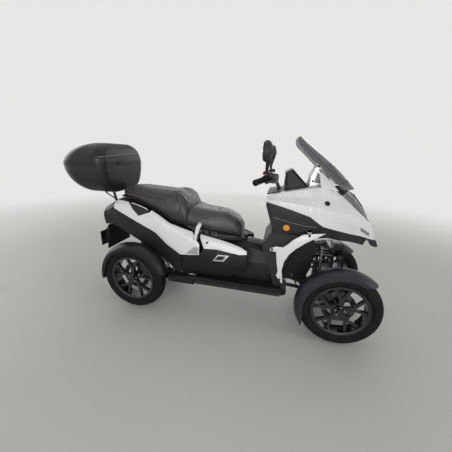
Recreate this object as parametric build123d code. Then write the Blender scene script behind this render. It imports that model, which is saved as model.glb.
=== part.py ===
"""Tilting four-wheel scooter built as named pieces: +X forward, +Y left, +Z up, millimetres."""

import os
from math import cos, radians, sin

from build123d import *

# Driving sizes
WHEELBASE = 1560
TRACK = 550
TYRE_R = 266
TYRE_W = 110
TYRE_SECTION = 90
REAR_OVERHANG = 640
WALL = 4
PANEL_GAP = 0.8
RUN_GAP = 0.05
FIT_GAP = 0.2
MOVE_GAP = 6
STEER_RAKE = 27

# Places that follow from them
OVERALL = TYRE_R + WHEELBASE + REAR_OVERHANG
FRONT_X = OVERALL / 2 - TYRE_R
REAR_X = FRONT_X - WHEELBASE
AXLE_Z = TYRE_R
WHEEL_Y = TRACK / 2
RIM_SEAT_R = TYRE_R - TYRE_SECTION

# Wheel and axle
HUB_R = 38
HUB_IN = 30
HUB_OUT = 40
SPINDLE_R = 17
RIM_HALF = 38
FLANGE_R = RIM_SEAT_R + 10
DISC_R = 115
DISC_Y = -20
DISC_T = 4

# Mudguard section
GUARD_HALF = TYRE_W / 2 + 11
GUARD_TOP = TYRE_R + 30
GUARD_SHOULDER = TYRE_R + 2
GUARD_LIP = TYRE_R - 26
FLANK_Y = WHEEL_Y - GUARD_HALF

# Front tilt linkage, heights from the axle
KINGPIN_Y = WHEEL_Y - 85
KINGPIN_R = 9
UPPER_ARM_Z = 146
LOWER_ARM_Z = -78
BOSS_HALF = 17.5
BOSS_R = 24
ARM_PIVOT_Y = 68
ARM_PIN_R = 8
ARM_HALF_X = 80
TOWER_HALF = 50
STRUT_X = -122
STRUT_PIN_R = 7
STRUT_LOW = (KINGPIN_Y - 80, LOWER_ARM_Z + 18)
STRUT_TOP = (58, 340)

# Steering
STEER_ARM = 80
CRANK_X = 68
CRANK_BALL_Y = 25
BALL_R = 6
ROD_Z = 47
BAR_F = -505
BAR_Z = 1085
BAR_R = 11
COLUMN_R = 12
COLUMN_L = 260
HEAD_TOP = 120
HEAD_LOW = 240

# Rear arms, heights from the axle
REAR_PIVOT_X = 400
REAR_PIVOT_Z = 9
PIVOT_R = 14
REAR_ARM_Y = (WHEEL_Y - 115, WHEEL_Y - 82)
SHOCK_Y = WHEEL_Y - 103
SHOCK_LOW = (290, 56)
SHOCK_TOP = (160, 280)
SHOCK_PIN_R = 7

# Seat, hinged at its nose
SEAT_HINGE = (866, 634)
SEAT_PIN_R = 6
HINGE_HALF = 24
PAN_T = 10

# Top case
CASE_SEAM_Z = 1155
CASE_FLOOR_Z = 940
CASE_WALL = 5
LID_PIN_R = 3
LID_HINGE = (-188, CASE_SEAM_Z + 1)
LID_BARREL = 60

# Frame rails, floor and the liner round the nose
RAIL_Y = 80
NOSE_RAIL_Y = 34
KEEL_Y = NOSE_RAIL_Y + 16.5 + WALL
TAIL_Y = 120
BUCKET_HALF = TAIL_Y - 16.5
RAIL_Z = AXLE_Z - 4
RAIL_R = 16
TAIL_END = (-180, TAIL_Y, 790)
FLOOR_Z = RAIL_Z + 56

# Tie-down eye under the tilt tower
TIE_EYE_X = 118
TIE_EYE_Z = -100
TIE_EYE_R = 10
TIE_EYE_T = 10

# Nose: reflectors, inner cowl and lamp panel
REFLECTOR = (-399, 789)
REFLECTOR_R = 21
COWL_SHARE = 0.86
COWL_TO = 146
LAMP_FROM = -84
LAMP_TO = 158
SCREEN_T = 5

# Case corners, plate holes and mirror heads
CASE_CORNER = 60
PLATE_HOLE_Y = 75
PLATE_HOLE_Z = 530
PLATE_HOLE_R = 3.25
MIRROR = (-549, 345, 1271)

# Passenger footrests, from the rear axle
REST_X = 528
REST_Z = 652
REST_Y = 262
REST_PIN_R = 5
REST_HALF = 9


def face_of(points):
    return make_face(Polyline(*points, close=True))


def side_prism(points, y0, y1):
    """A side-view outline of (x, z) points, drawn out from y0 to y1."""
    return extrude(Plane.XZ.offset(-y1) * face_of(points), amount=y1 - y0)


def plan_prism(points, z0, z1):
    """A plan outline of (x, y) points, drawn out from z0 to z1."""
    return extrude(Plane.XY.offset(z0) * face_of(points), amount=z1 - z0)


def block(x0, x1, y0, y1, z0, z1):
    return Pos((x0 + x1) / 2, (y0 + y1) / 2, (z0 + z1) / 2) * Box(x1 - x0, y1 - y0, z1 - z0)


def rod(start, end, radius):
    line = Line(start, end)
    return extrude(Plane(origin=start, z_dir=line % 0) * Circle(radius), amount=line.length)


def tube(points, radius, bend):
    path = FilletPolyline(*points, radius=bend)
    return sweep(Plane(origin=path @ 0, z_dir=path % 0) * Circle(radius), path=path)


def both_sides(piece):
    return piece + mirror(piece, about=Plane.XZ)


def front(points):
    """Outline points measured from the front axle."""
    return [(FRONT_X + x, z) for x, z in points]


def rear(points):
    """Outline points measured from the rear axle."""
    return [(REAR_X + x, z) for x, z in points]


def lowered(points, drop):
    return [(x, z - drop) for x, z in points]


def height_on(line, x):
    """Height of a broken line at x."""
    for (x0, z0), (x1, z1) in zip(line, line[1:]):
        if min(x0, x1) <= x <= max(x0, x1):
            return z0 + (z1 - z0) * (x - x0) / (x1 - x0)
    return line[0][1] if abs(x - line[0][0]) < abs(x - line[-1][0]) else line[-1][1]


def full_section(half):
    """A closed section from its left half, given from top centre to bottom centre."""
    return half + [(-y, z) for y, z in reversed(half) if y > 0]


def loft_along(stations, ruled=False):
    """A solid through (x, outline of (y, z)) stations."""
    return loft([Plane.YZ.offset(x) * face_of(points) for x, points in stations], ruled=ruled)


def blend(sections, x):
    """The half section at x, eased between the given ones."""
    for (x0, before), (x1, after) in zip(sections, sections[1:]):
        if x0 <= x <= x1:
            share = (x - x0) / (x1 - x0)
            pairs = zip(before, after)
            return [(y0 + (y1 - y0) * share, z0 + (z1 - z0) * share) for (y0, z0), (y1, z1) in pairs]
    return sections[0][1] if x < sections[0][0] else sections[-1][1]


def cut_at(line, height):
    """The point where a falling line of (y, z) points passes a height."""
    for (y0, z0), (y1, z1) in zip(line, line[1:]):
        if z1 <= height <= z0:
            return (y0 + (y1 - y0) * (z0 - height) / max(z0 - z1, 0.001), height)
    return line[0] if height > line[0][1] else line[-1]


def band(line, high, low, count=5):
    """Evenly spaced points down a falling line, between two heights."""
    return [cut_at(line, high + (low - high) * i / (count - 1)) for i in range(count)]


def strip(outer):
    """A closed section as thick as a panel, inside an open line of (y, z) points; steep ends are level."""
    inner = []
    last = len(outer) - 1
    for i, (y, z) in enumerate(outer):
        run = (Vector(*outer[min(i + 1, last)]) - Vector(*outer[max(i - 1, 0)])).normalized()
        if i in (0, last) and abs(run.Y) > 0.5:
            inner.append((y - WALL / abs(run.Y), z))
        else:
            inner.append((y + run.Y * WALL, z - run.X * WALL))
    return outer + inner[::-1]


def skin_y(sections, x, height, radius):
    """Where a cross tube ends, just inside a body's skin."""
    line = blend(sections, x)
    nearest = min(cut_at(line, height + step)[0] for step in (-radius, radius))
    return nearest - 1.1 * WALL - 0.9


def panel(origin, places, line_at):
    """A pair of moulded panels through places measured from an axle."""
    return both_sides(loft_along([(origin + x, strip(line_at(x))) for x in places], ruled=True))


# Wheels


def tyre():
    bead = RIM_HALF - 0.5
    seat = RIM_SEAT_R + FIT_GAP
    lip = FLANGE_R + 3
    half = TYRE_W / 2
    shoulder = (half * 0.8, TYRE_R - 16)
    side = (half, TYRE_R - 44)
    edges = [
        Polyline((-bead, lip), (-bead, seat), (bead, seat), (bead, lip)),
        ThreePointArc((bead, lip), side, shoulder),
        ThreePointArc(shoulder, (0, TYRE_R), (-shoulder[0], shoulder[1])),
        ThreePointArc((-shoulder[0], shoulder[1]), (-side[0], side[1]), (-bead, lip)),
    ]
    return revolve(Plane.YZ * make_face(edges), axis=Axis.Y)


def rim():
    edge = RIM_HALF + 6
    inner = RIM_SEAT_R - 8
    section = [
        (-edge, FLANGE_R), (-RIM_HALF, FLANGE_R), (-RIM_HALF, RIM_SEAT_R),
        (RIM_HALF, RIM_SEAT_R), (RIM_HALF, FLANGE_R), (edge, FLANGE_R),
        (edge, RIM_SEAT_R + 2), (edge - 4, inner), (4 - edge, inner), (-edge, RIM_SEAT_R + 2),
    ]
    wheel = revolve(Plane.YZ * face_of(section), axis=Axis.Y)
    wheel += rod((0, -HUB_IN, 0), (0, HUB_OUT, 0), HUB_R)
    end = inner + 4
    stem = side_prism([(-18, 25), (18, 25), (13, 98), (-13, 98)], 8, 32)
    fork = side_prism([(-3, 94), (13, 78), (0.34 * end, 0.93 * end), (0.24 * end, 0.97 * end)], 10, 30)
    stay = side_prism([(-10, 25), (10, 25), (7, 82), (-7, 82)], DISC_Y - DISC_T / 2, DISC_Y + DISC_T / 2)
    for turn in range(5):
        wheel += Rot(0, 72 * turn, 0) * stem
        wheel += Rot(0, 72 * turn, 0) * fork
        wheel += Rot(0, 72 * turn, 0) * mirror(fork, about=Plane.YZ)
        wheel += Rot(0, 72 * turn + 36, 0) * stay
    ring = rod((0, DISC_Y - DISC_T / 2, 0), (0, DISC_Y + DISC_T / 2, 0), DISC_R)
    ring -= rod((0, DISC_Y - DISC_T, 0), (0, DISC_Y + DISC_T, 0), DISC_R - 37)
    wheel += ring
    return wheel - rod((0, -HUB_IN - 1, 0), (0, HUB_OUT + 1, 0), SPINDLE_R)


def on_axle(piece, x, side):
    """A left-hand wheel piece set on its axle, on the left (1) or the right (-1)."""
    placed = Pos(x, WHEEL_Y, AXLE_Z) * piece
    return placed if side > 0 else mirror(placed, about=Plane.XZ)


def spindle(root_y):
    """Axle stub, thrust flange and end nut, reaching out from root_y through a wheel."""
    stub = rod((0, root_y, 0), (0, WHEEL_Y + HUB_OUT + 16, 0), SPINDLE_R - RUN_GAP)
    stub += rod((0, root_y, 0), (0, WHEEL_Y - HUB_IN - MOVE_GAP, 0), 34)
    return stub + rod((0, WHEEL_Y + HUB_OUT + MOVE_GAP, 0), (0, WHEEL_Y + HUB_OUT + 16, 0), 23)


def caliper(angle):
    """Brake caliper and its bracket, astride the disc at an angle up from straight ahead."""
    middle = WHEEL_Y + DISC_Y
    slot = DISC_T / 2 + MOVE_GAP
    jaws = block(DISC_R - 38, DISC_R + 26, middle - slot - 12, middle + slot + 10, -28, 28)
    jaws = fillet(jaws.edges().filter_by(Axis.Y), 8)
    jaws -= block(0, DISC_R + 8, middle - slot, middle + slot, -40, 40)
    bracket = block(20, DISC_R - 20, middle - 32, middle - slot - 8, -16, 16)
    return Rot(0, -angle, 0) * (jaws + bracket)


def at_angle(radius, angle):
    """A side-view point round an axle, at an angle up from straight ahead."""
    return (radius * cos(radians(angle)), radius * sin(radians(angle)))


def guard_end(lip, tip):
    """The part cut off one end of a mudguard, from its lip at one angle out to its tip at another."""
    past = tip + (30 if tip > lip else -30)
    inner = GUARD_LIP - 40
    outer = GUARD_TOP + 1
    cut = [
        at_angle(GUARD_LIP - 2, lip), at_angle(outer, tip), at_angle(outer + 60, past),
        at_angle(inner, past),
    ]
    return side_prism(cut + [at_angle(inner, lip)], -GUARD_HALF - 1, GUARD_HALF + 1)


def mudguard(lip_rear, tip_rear, tip_front, lip_front):
    """Arched guard over a wheel at the origin, with pointed ends at angles up from straight ahead."""
    def arch(half, shoulder, top):
        return [
            Line((-half, GUARD_LIP), (-half, shoulder)),
            ThreePointArc((-half, shoulder), (0, top), (half, shoulder)),
            Line((half, shoulder), (half, GUARD_LIP)),
        ]
    thin = GUARD_HALF - WALL
    outer = arch(GUARD_HALF, GUARD_SHOULDER, GUARD_TOP)
    inner = arch(thin, GUARD_SHOULDER - 2, GUARD_TOP - WALL)
    lips = [
        Line((-GUARD_HALF, GUARD_LIP), (-thin, GUARD_LIP)),
        Line((thin, GUARD_LIP), (GUARD_HALF, GUARD_LIP)),
    ]
    section = Plane.YZ * make_face(outer + inner + lips)
    guard = Rot(0, 90 - tip_rear, 0) * revolve(section, axis=Axis.Y, revolution_arc=tip_rear - tip_front)
    return guard - guard_end(lip_rear, tip_rear) - guard_end(lip_front, tip_front)


# Front tilt linkage, drawn from the front axle centre and then moved there


def at_front_axle(piece):
    return Pos(FRONT_X, 0, AXLE_Z) * piece


def at_rear_axle(piece):
    return Pos(REAR_X, 0, AXLE_Z) * piece


def knuckle():
    post_low = LOWER_ARM_Z + BOSS_HALF + 5
    post_high = UPPER_ARM_Z - BOSS_HALF - 5
    piece = rod((0, KINGPIN_Y, post_low), (0, KINGPIN_Y, post_high), 18)
    piece += rod((0, KINGPIN_Y, LOWER_ARM_Z - 15), (0, KINGPIN_Y, UPPER_ARM_Z + 15), KINGPIN_R)
    piece += spindle(KINGPIN_Y)
    piece += caliper(140)
    ball_y = KINGPIN_Y + CRANK_BALL_Y
    piece += plan_prism([
        (0, KINGPIN_Y - 12), (STEER_ARM, ball_y - 12), (STEER_ARM, ball_y + 12), (0, KINGPIN_Y + 12),
    ], 22, 36)
    piece += rod((STEER_ARM, ball_y, 22), (STEER_ARM, ball_y, 36), 13)
    piece += rod((STEER_ARM, ball_y, 36), (STEER_ARM, ball_y, 58), BALL_R)
    stay = [(-18, 20), (-4, 20), (-86, GUARD_LIP + 8), (-118, GUARD_LIP - 8)]
    piece += side_prism(stay, FLANK_Y - 8, FLANK_Y)
    piece += side_prism([(-x, z) for x, z in stay], FLANK_Y - 8, FLANK_Y)
    return piece


def tilt_arm(height):
    """One tilt arm from its barrel on the tower to the kingpin boss."""
    outer = [(-76, ARM_PIVOT_Y), (76, ARM_PIVOT_Y), (22, KINGPIN_Y), (-22, KINGPIN_Y)]
    window = [(-46, ARM_PIVOT_Y + 24), (46, ARM_PIVOT_Y + 24), (13, KINGPIN_Y - 36), (-13, KINGPIN_Y - 36)]
    arm = plan_prism(outer, height - 9.5, height + 9.5)
    arm -= plan_prism(window, height - 20, height + 20)
    reach = ARM_HALF_X - 0.5
    arm += rod((-reach, ARM_PIVOT_Y, height), (reach, ARM_PIVOT_Y, height), 16)
    arm += rod((0, KINGPIN_Y, height - BOSS_HALF), (0, KINGPIN_Y, height + BOSS_HALF), BOSS_R)
    if height == LOWER_ARM_Z:
        y, z = STRUT_LOW
        arm += block(-75, -36, y - 12, y + 12, height - 8, z + 12)
        arm += rod((-75, y, z), (STRUT_X - 14, y, z), STRUT_PIN_R)
    arm -= rod((-reach - 1, ARM_PIVOT_Y, height), (reach + 1, ARM_PIVOT_Y, height), ARM_PIN_R + FIT_GAP)
    return arm - rod((0, KINGPIN_Y, height - 30), (0, KINGPIN_Y, height + 30), KINGPIN_R + RUN_GAP)


def tilt_arms():
    return both_sides(tilt_arm(UPPER_ARM_Z)) + both_sides(tilt_arm(LOWER_ARM_Z))


def tilt_tower():
    outline = [(-45, -120), (45, -120), (45, 250), (22, 380), (-45, 380)]
    tower = side_prism(outline, -TOWER_HALF, TOWER_HALF)
    tower -= side_prism([(-28, 190), (28, 190), (20, 330), (-28, 330)], -TOWER_HALF - 1, TOWER_HALF + 1)
    ends = ARM_HALF_X + 14
    for height in (UPPER_ARM_Z, LOWER_ARM_Z):
        tower += block(-ends, ends, -TOWER_HALF, TOWER_HALF, height - 20, height + 20)
        for x0 in (-ends, ARM_HALF_X):
            tower += block(x0, x0 + 14, -ARM_PIVOT_Y - 18, ARM_PIVOT_Y + 18, height - 18, height + 18)
        for y in (-ARM_PIVOT_Y, ARM_PIVOT_Y):
            tower += rod((-ends, y, height), (ends, y, height), ARM_PIN_R)
    y, z = STRUT_TOP
    tower += block(-75, -40, -y - 14, y + 14, z - 18, z + 18)
    for side in (-y, y):
        tower += rod((-75, side, z), (STRUT_X - 14, side, z), STRUT_PIN_R)
    for z0 in (6, 43):
        tower += block(40, CRANK_X + 18, -20, 20, z0, z0 + 10)
    tower += rod((CRANK_X, 0, 6), (CRANK_X, 0, 53), ARM_PIN_R)
    lug = block(40, TIE_EYE_X + 20, -22, 22, TIE_EYE_Z - TIE_EYE_T / 2, TIE_EYE_Z + TIE_EYE_T / 2)
    tower += lug
    return tower - rod((TIE_EYE_X, 0, TIE_EYE_Z - 20), (TIE_EYE_X, 0, TIE_EYE_Z + 20), TIE_EYE_R)


def strut(low, top, along, eye, body_r, rod_r):
    """Damper between two eyes whose pins lie along an axis."""
    lower = Vector(*low)
    upper = Vector(*top)
    line = (upper - lower).normalized()
    length = (upper - lower).length
    offset = Vector(*along) * 12
    piece = rod(tuple(lower), tuple(upper), rod_r)
    piece += rod(tuple(lower + line * 32), tuple(lower + line * (0.6 * length)), body_r)
    for end in (lower, upper):
        piece += rod(tuple(end - offset), tuple(end + offset), eye + 7)
    for end in (lower, upper):
        piece -= rod(tuple(end - offset * 2), tuple(end + offset * 2), eye + FIT_GAP)
    return piece


def tilt_struts():
    low = (STRUT_X, STRUT_LOW[0], STRUT_LOW[1])
    top = (STRUT_X, STRUT_TOP[0], STRUT_TOP[1])
    return both_sides(strut(low, top, (1, 0, 0), STRUT_PIN_R, 22, 11))


def steer_crank():
    end = CRANK_X + STEER_ARM
    plate = plan_prism([
        (CRANK_X, -18), (end, -CRANK_BALL_Y - 13), (end, CRANK_BALL_Y + 13), (CRANK_X, 18),
    ], 24, 36)
    plate += rod((CRANK_X, 0, 18), (CRANK_X, 0, 41), 18)
    for y in (-CRANK_BALL_Y, CRANK_BALL_Y):
        plate += rod((end, y, 24), (end, y, 36), 13)
        plate += rod((end, y, 36), (end, y, 58), BALL_R)
    return plate - rod((CRANK_X, 0, 0), (CRANK_X, 0, 60), ARM_PIN_R + RUN_GAP)


def tie_rod():
    outer = (STEER_ARM, KINGPIN_Y + CRANK_BALL_Y, ROD_Z)
    inner = (CRANK_X + STEER_ARM, CRANK_BALL_Y, ROD_Z)
    link = rod(outer, inner, 6.5)
    for x, y, z in (outer, inner):
        link += rod((x, y, z - 7), (x, y, z + 7), 12)
    for x, y, z in (outer, inner):
        link -= rod((x, y, z - 20), (x, y, z + 20), BALL_R + RUN_GAP)
    return link


# Frame and power block


def steer_point(down, y=0):
    """A point on the steering axis, a distance down from the handlebar."""
    lean = radians(STEER_RAKE)
    return (FRONT_X + BAR_F + down * sin(lean), y, BAR_Z - down * cos(lean))


def frame():
    run = [
        (FRONT_X - 46, NOSE_RAIL_Y, 545), (FRONT_X - 335, NOSE_RAIL_Y, 555),
        (FRONT_X - 430, RAIL_Y, RAIL_Z + 4),
        (REAR_X + 430, RAIL_Y, RAIL_Z), (REAR_X + 190, TAIL_Y, AXLE_Z + 264),
        (REAR_X + TAIL_END[0], TAIL_END[1], TAIL_END[2]),
    ]
    side = tube(run, RAIL_R, 45)
    side += rod((FRONT_X - 50, NOSE_RAIL_Y, AXLE_Z - 38), (FRONT_X - 425, RAIL_Y - 8, RAIL_Z + 18), 14)
    side += rod(steer_point(HEAD_LOW - 30), (FRONT_X - 330, NOSE_RAIL_Y, 560), 13)
    welded = both_sides(side)
    welded += rod(steer_point(HEAD_TOP), steer_point(HEAD_LOW), 24)
    for x, y, z, radius in (
        (REAR_X + REAR_PIVOT_X, REAR_ARM_Y[1] + 6, AXLE_Z + REAR_PIVOT_Z, PIVOT_R),
        (REAR_X + SHOCK_TOP[0], SHOCK_Y + 14, AXLE_Z + SHOCK_TOP[1], SHOCK_PIN_R),
        (REAR_X - 160, skin_y(REAR_SECTIONS, -160, 774, 12), 774, 12),
        (FRONT_X - 414, skin_y(FRONT_SECTIONS, -414, 895, 8), 895, 8),
        (FRONT_X - 441, skin_y(FRONT_SECTIONS, -441, 945, 8), 945, 8),
        (FRONT_X - 470, RAIL_Y + 4, RAIL_Z + 4, 12),
    ):
        welded += rod((x, -y, z), (x, y, z), radius)
    foot = AXLE_Z + SHOCK_TOP[1] - 46
    web = [(150, foot), (215, foot), (215, foot + 60), (150, foot + 75)]
    welded += both_sides(side_prism(rear(web), 112, 128))
    return welded - rod(steer_point(HEAD_TOP - 5), steer_point(COLUMN_L + 10), COLUMN_R + RUN_GAP)


def power_block():
    case = block(REAR_X + 455, FRONT_X - 480, -74, 74, RAIL_Z + RAIL_R + 3.2, 520)
    return fillet(case.edges().filter_by(Axis.X).group_by(Axis.Z)[-1], 15)


# Floor and inner bodywork


def floor_pan():
    section = [
        (0, RAIL_Z - 26), (205, RAIL_Z - 26), (262, RAIL_Z + 38), (266, FLOOR_Z + 17), (250, FLOOR_Z + 17),
        (248, FLOOR_Z),
        (136, FLOOR_Z), (136, RAIL_Z - RAIL_R - FIT_GAP), (0, RAIL_Z - RAIL_R - FIT_GAP),
    ]
    deck = extrude(Plane.YZ.offset(REAR_X + 500) * face_of(section), amount=FRONT_X - 395 - REAR_X - 500)
    skirt = [(290, 262), (505, 262), (505, 334), (290, 306)]
    deck += side_prism(rear(skirt), 232, 262)
    belly = [(-440, RAIL_Z - 20), (-440, 200), (-372, 190), (-345, 212), (-345, RAIL_Z - 20)]
    deck += side_prism(front(belly), 0, 118)
    deck = both_sides(deck)
    for y in (-34, 34):
        deck -= rod((FRONT_X - 44, y, 228), (FRONT_X - 425, 72 * y / 34, 280), 24)
    return deck


def tunnel_cover():
    def hoop(x, foot, waist, top):
        outer = [(0, top), (60, top - 6), (100, top - 40), (waist, 450), (foot, FLOOR_Z + FIT_GAP)]
        return x, strip(outer)
    stations = [
        hoop(REAR_X + 520, 142, 130, 590),
        hoop(REAR_X + 870, 142, 128, 600),
        hoop(FRONT_X - 560, 142, 128, 585),
        hoop(FRONT_X - 480, 142, 130, 560),
    ]
    cover = both_sides(loft_along(stations))
    x, z = REAR_X + SEAT_HINGE[0], SEAT_HINGE[1]
    outer = HINGE_HALF + 9
    cover += both_sides(block(x - 11, x + 11, HINGE_HALF + 1, outer, 590, z + 10))
    cover += rod((x, -outer, z), (x, outer, z), SEAT_PIN_R)
    return cover - both_sides(upright(10))


LEG_REAR = [
    (-524, 989), (-500, 790), (-494, 738), (-552, 640), (-550, 612), (-532, 558), (-495, 461),
    (-446, FLOOR_Z + FIT_GAP),
]
LEG_ARCH = [
    (-400, FLOOR_Z + FIT_GAP), (-412, 430), (-405, 480), (-392, 541), (-366, 598), (-326, 640),
    (-272, 684), (-238, 705),
]


def leg_shield():
    outline = front(LEG_REAR + LEG_ARCH + [(-255, 725), (-400, 735), (-470, 760), (-492, 996)])
    shield = side_prism(outline, -200, 200)
    for y in (-200, 200):
        shield -= block(FRONT_X - 600, FRONT_X - 400, y - 16, y + 16, 738, 1000)
    hollow = front([
        (-480, 726), (-541, 636), (-539, 615), (-521, 562), (-485, 465), (-442, 346), (-412, 346),
        (-422, 430),
        (-415, 484), (-401, 545), (-373, 604), (-332, 648), (-280, 690), (-258, 706), (-264, 716),
        (-400, 724),
    ])
    shield -= side_prism(hollow, -195, 195)
    shield -= tunnel_opening()
    for y in (-34, 34):
        shield -= rod((FRONT_X - 200, y, 550), (FRONT_X - 450, y, 556), 24)
        shield -= rod((FRONT_X - 335, y, 555), (FRONT_X - 430, RAIL_Y * y / 34, RAIL_Z + 4), 24)
        shield -= rod(steer_point(HEAD_LOW - 30), (FRONT_X - 330, y, 560), 22)
    return shield


def front_keel():
    """Thin-walled liner that hugs the front rails between the leg shield and the tilt tower."""
    outline = [
        (-312, 310), (-312, 636), (-272, 672), (-242, 688), (-178, 652), (-160, 560), (-185, 420),
        (-228, 310),
    ]
    hollow = [
        (-330, 300), (-330, 640), (-300, 700), (-242, 700), (-181, 650), (-164, 560), (-189, 420),
        (-231, 300),
    ]
    inner = KEEL_Y - WALL
    keel = side_prism(front(outline), -KEEL_Y, KEEL_Y) - side_prism(front(hollow), -inner, inner)
    for y in (-NOSE_RAIL_Y, NOSE_RAIL_Y):
        keel -= rod((FRONT_X - 46, y, 545), (FRONT_X - 335, y, 555), RAIL_R + 0.5)
    return keel


def tunnel_opening():
    opening = [
        (-144, 300), (144, 300), (133, 450), (104, 550), (62, 594), (-62, 594), (-104, 550), (-133, 450),
    ]
    return extrude(Plane.YZ.offset(FRONT_X - 600) * face_of(opening), amount=180)


def dash():
    deck = [
        (-548, 984), (-548, 1000), (-430, 1024), (-250, 1054), (-100, 1046), (-100, 1034), (-250, 1042),
        (-430, 1010),
    ]
    plate = side_prism(front(deck), -160, 160)
    plate &= plan_prism(dash_plan(PANEL_GAP), 900, 1200)
    hump = [(-430, 1012), (-438, 1140), (-392, 1166), (-334, 1108), (-282, 1056), (-282, 1036)]
    cowl = side_prism(front(hump), -112, 112)
    cowl = chamfer(cowl.faces().sort_by(Axis.Y)[0].edges() + cowl.faces().sort_by(Axis.Y)[-1].edges(), 14)
    plate += cowl
    return plate - rod(steer_point(0), steer_point(160), COLUMN_R + 3 * MOVE_GAP)


def dash_plan(gap):
    half = [(-600, 160), (-552, 157), (-230, 136), (-98, 90)]
    left = [(FRONT_X + x, y - gap) for x, y in half]
    return left + [(x, -y) for x, y in reversed(left)]


# Front body: half sections from top centre to bottom centre, each at a distance from the front axle
FRONT_SECTIONS = [
    (-552, [
        (0, 1000), (120, 999), (194, 990), (202, 982), (214, 968), (213, 940), (205, 860), (196, 690),
        (0, 680),
    ]),
    (-381, [
        (0, 1046), (110, 1042), (182, 1030), (196, 992), (245, 957), (248, 915), (240, 830), (216, 690),
        (0, 680),
    ]),
    (-212, [
        (0, 1074), (105, 1070), (171, 1060), (190, 1000), (255, 942), (253, 860), (244, 800), (222, 700),
        (0, 690),
    ]),
    (-120, [
        (0, 1068), (90, 1060), (146, 1046), (176, 985), (240, 926), (236, 830), (222, 780), (190, 710),
        (0, 700),
    ]),
    (-35, [
        (0, 1052), (60, 1030), (111, 983), (152, 955), (210, 907), (205, 800), (188, 745), (150, 690),
        (0, 680),
    ]),
    (40, [
        (0, 1004), (45, 970), (86, 918), (118, 904), (160, 876), (156, 775), (140, 725), (110, 680),
        (0, 670),
    ]),
    (100, [
        (0, 933), (35, 905), (65, 869), (85, 860), (112, 848), (108, 745), (96, 705), (76, 660), (0, 655),
    ]),
    (160, [(0, 838), (22, 830), (40, 820), (52, 812), (66, 800), (64, 715), (56, 685), (44, 645), (0, 640)]),
    (215, [(0, 736), (8, 734), (14, 732), (18, 728), (24, 722), (24, 690), (20, 665), (16, 640), (0, 636)]),
]
WHITE_LOW = [(-552, 954), (-377, 916), (-261, 881), (-174, 820), (-56, 789), (99, 741), (215, 694)]
BLACK_LOW = [
    (-552, 948), (-524, 860), (-501, 790), (-490, 735), (-409, 741), (-340, 757), (-255, 790),
    (-176, 815),
]
BEAK_LOW = [(82, 738), (140, 714), (215, 654)]


def front_line(x):
    return blend(FRONT_SECTIONS, x)


def along(start, end, share):
    return (start[0] + (end[0] - start[0]) * share, start[1] + (end[1] - start[1]) * share)


def deck_share(x):
    """How far from the shoulder towards the ridge the white skin starts."""
    return height_on([
        (-552, 0.55), (-230, 0.5), (-100, 0.4), (LAMP_FROM, 0.94), (LAMP_TO, 0.94), (215, 0.5),
    ], x)


def fairing():
    def white(x):
        line = front_line(x)
        return [along(line[1], line[2], deck_share(x)), *line[2:5], cut_at(line, height_on(WHITE_LOW, x))]
    places = [
        -552, -500, -440, -377, -320, -261, -212, -174, -130, -100, LAMP_FROM, -56, -10, 40, 99, LAMP_TO,
        215,
    ]
    nose = [(y, z) for y, z in FRONT_SECTIONS[-1][1] if z > WHITE_LOW[-1][1]]
    tip = extrude(
        Plane.YZ.offset(FRONT_X + 211) * face_of(full_section(nose + [(0, WHITE_LOW[-1][1])])), amount=4,
    )
    return panel(FRONT_X, places, white) + tip + both_sides(horn())


def horn():
    """Pillar that rises from the fairing to carry one edge of the screen."""
    base = [(-206, 173), (-196, 158), (-100, 126), (-94, 138)]
    tip = [(-230, 164), (-228, 152), (-212, 150), (-210, 160)]
    faces = [
        Plane.XY.offset(z) * face_of([(FRONT_X + x, y) for x, y in points])
        for z, points in ((1040, base), (1150, tip))
    ]
    return loft(faces)


def lamp_panel():
    def glass(x):
        line = front_line(x)
        return [line[0], line[1], along(line[1], line[2], deck_share(x) - 0.04)]
    return panel(FRONT_X, [LAMP_FROM + PANEL_GAP, -56, -10, 40, 99, LAMP_TO], glass)


def side_panels():
    def black(x):
        return band(front_line(x), height_on(WHITE_LOW, x) - PANEL_GAP, height_on(BLACK_LOW, x))
    return panel(FRONT_X, [-545, -524, -501, -480, -409, -377, -340, -261, -225, -190], black)


def beak():
    def lip(x):
        return band(front_line(x), height_on(WHITE_LOW, x) - PANEL_GAP, height_on(BEAK_LOW, x), 3)
    def cowl(x):
        line = [(COWL_SHARE * y, z) for y, z in front_line(x)]
        return band(line, height_on(WHITE_LOW, x) + 8, line[-1][1] + 1, 6)
    wedge = [(216, 692), (230, 690), (246, 652), (240, 642), (205, 650), (205, 690)]
    web = [(y - 1, z) for y, z in band(front_line(COWL_TO - 3), height_on(WHITE_LOW, COWL_TO) - 4, 690, 3)]
    rib = extrude(
        Plane.YZ.offset(FRONT_X + COWL_TO - 6) * face_of(full_section([(0, web[0][1])] + web + [(0, 690)])),
        amount=6,
    )
    piece = panel(FRONT_X, [99, 140, 180, 213], lip) + side_prism(front(wedge), -24, 24)
    return piece + rib + panel(FRONT_X, [-232, -174, -120, -56, 40, 99, COWL_TO], cowl)


def side_lamps():
    """Front indicators and round side reflectors, each seated on its panel."""
    def lens(x):
        middle = height_on([(86, 794), (162, 744)], x)
        line = [(y + WALL + FIT_GAP, z) for y, z in front_line(x)]
        return band(line, middle + 11, middle - 11, 3)
    def patch(x):
        line = band(front_line(x), REFLECTOR[1] + 24, REFLECTOR[1] - 24, 3)
        return [(y + WALL + PANEL_GAP, z) for y, z in line]
    x, z = FRONT_X + REFLECTOR[0], REFLECTOR[1]
    disc = loft_along([(x + step, strip(patch(REFLECTOR[0] + step))) for step in (-24, 24)])
    disc &= rod((x, 100, z), (x, 400, z), REFLECTOR_R)
    return panel(FRONT_X, [86, 125, 162], lens) + both_sides(disc)


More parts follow.
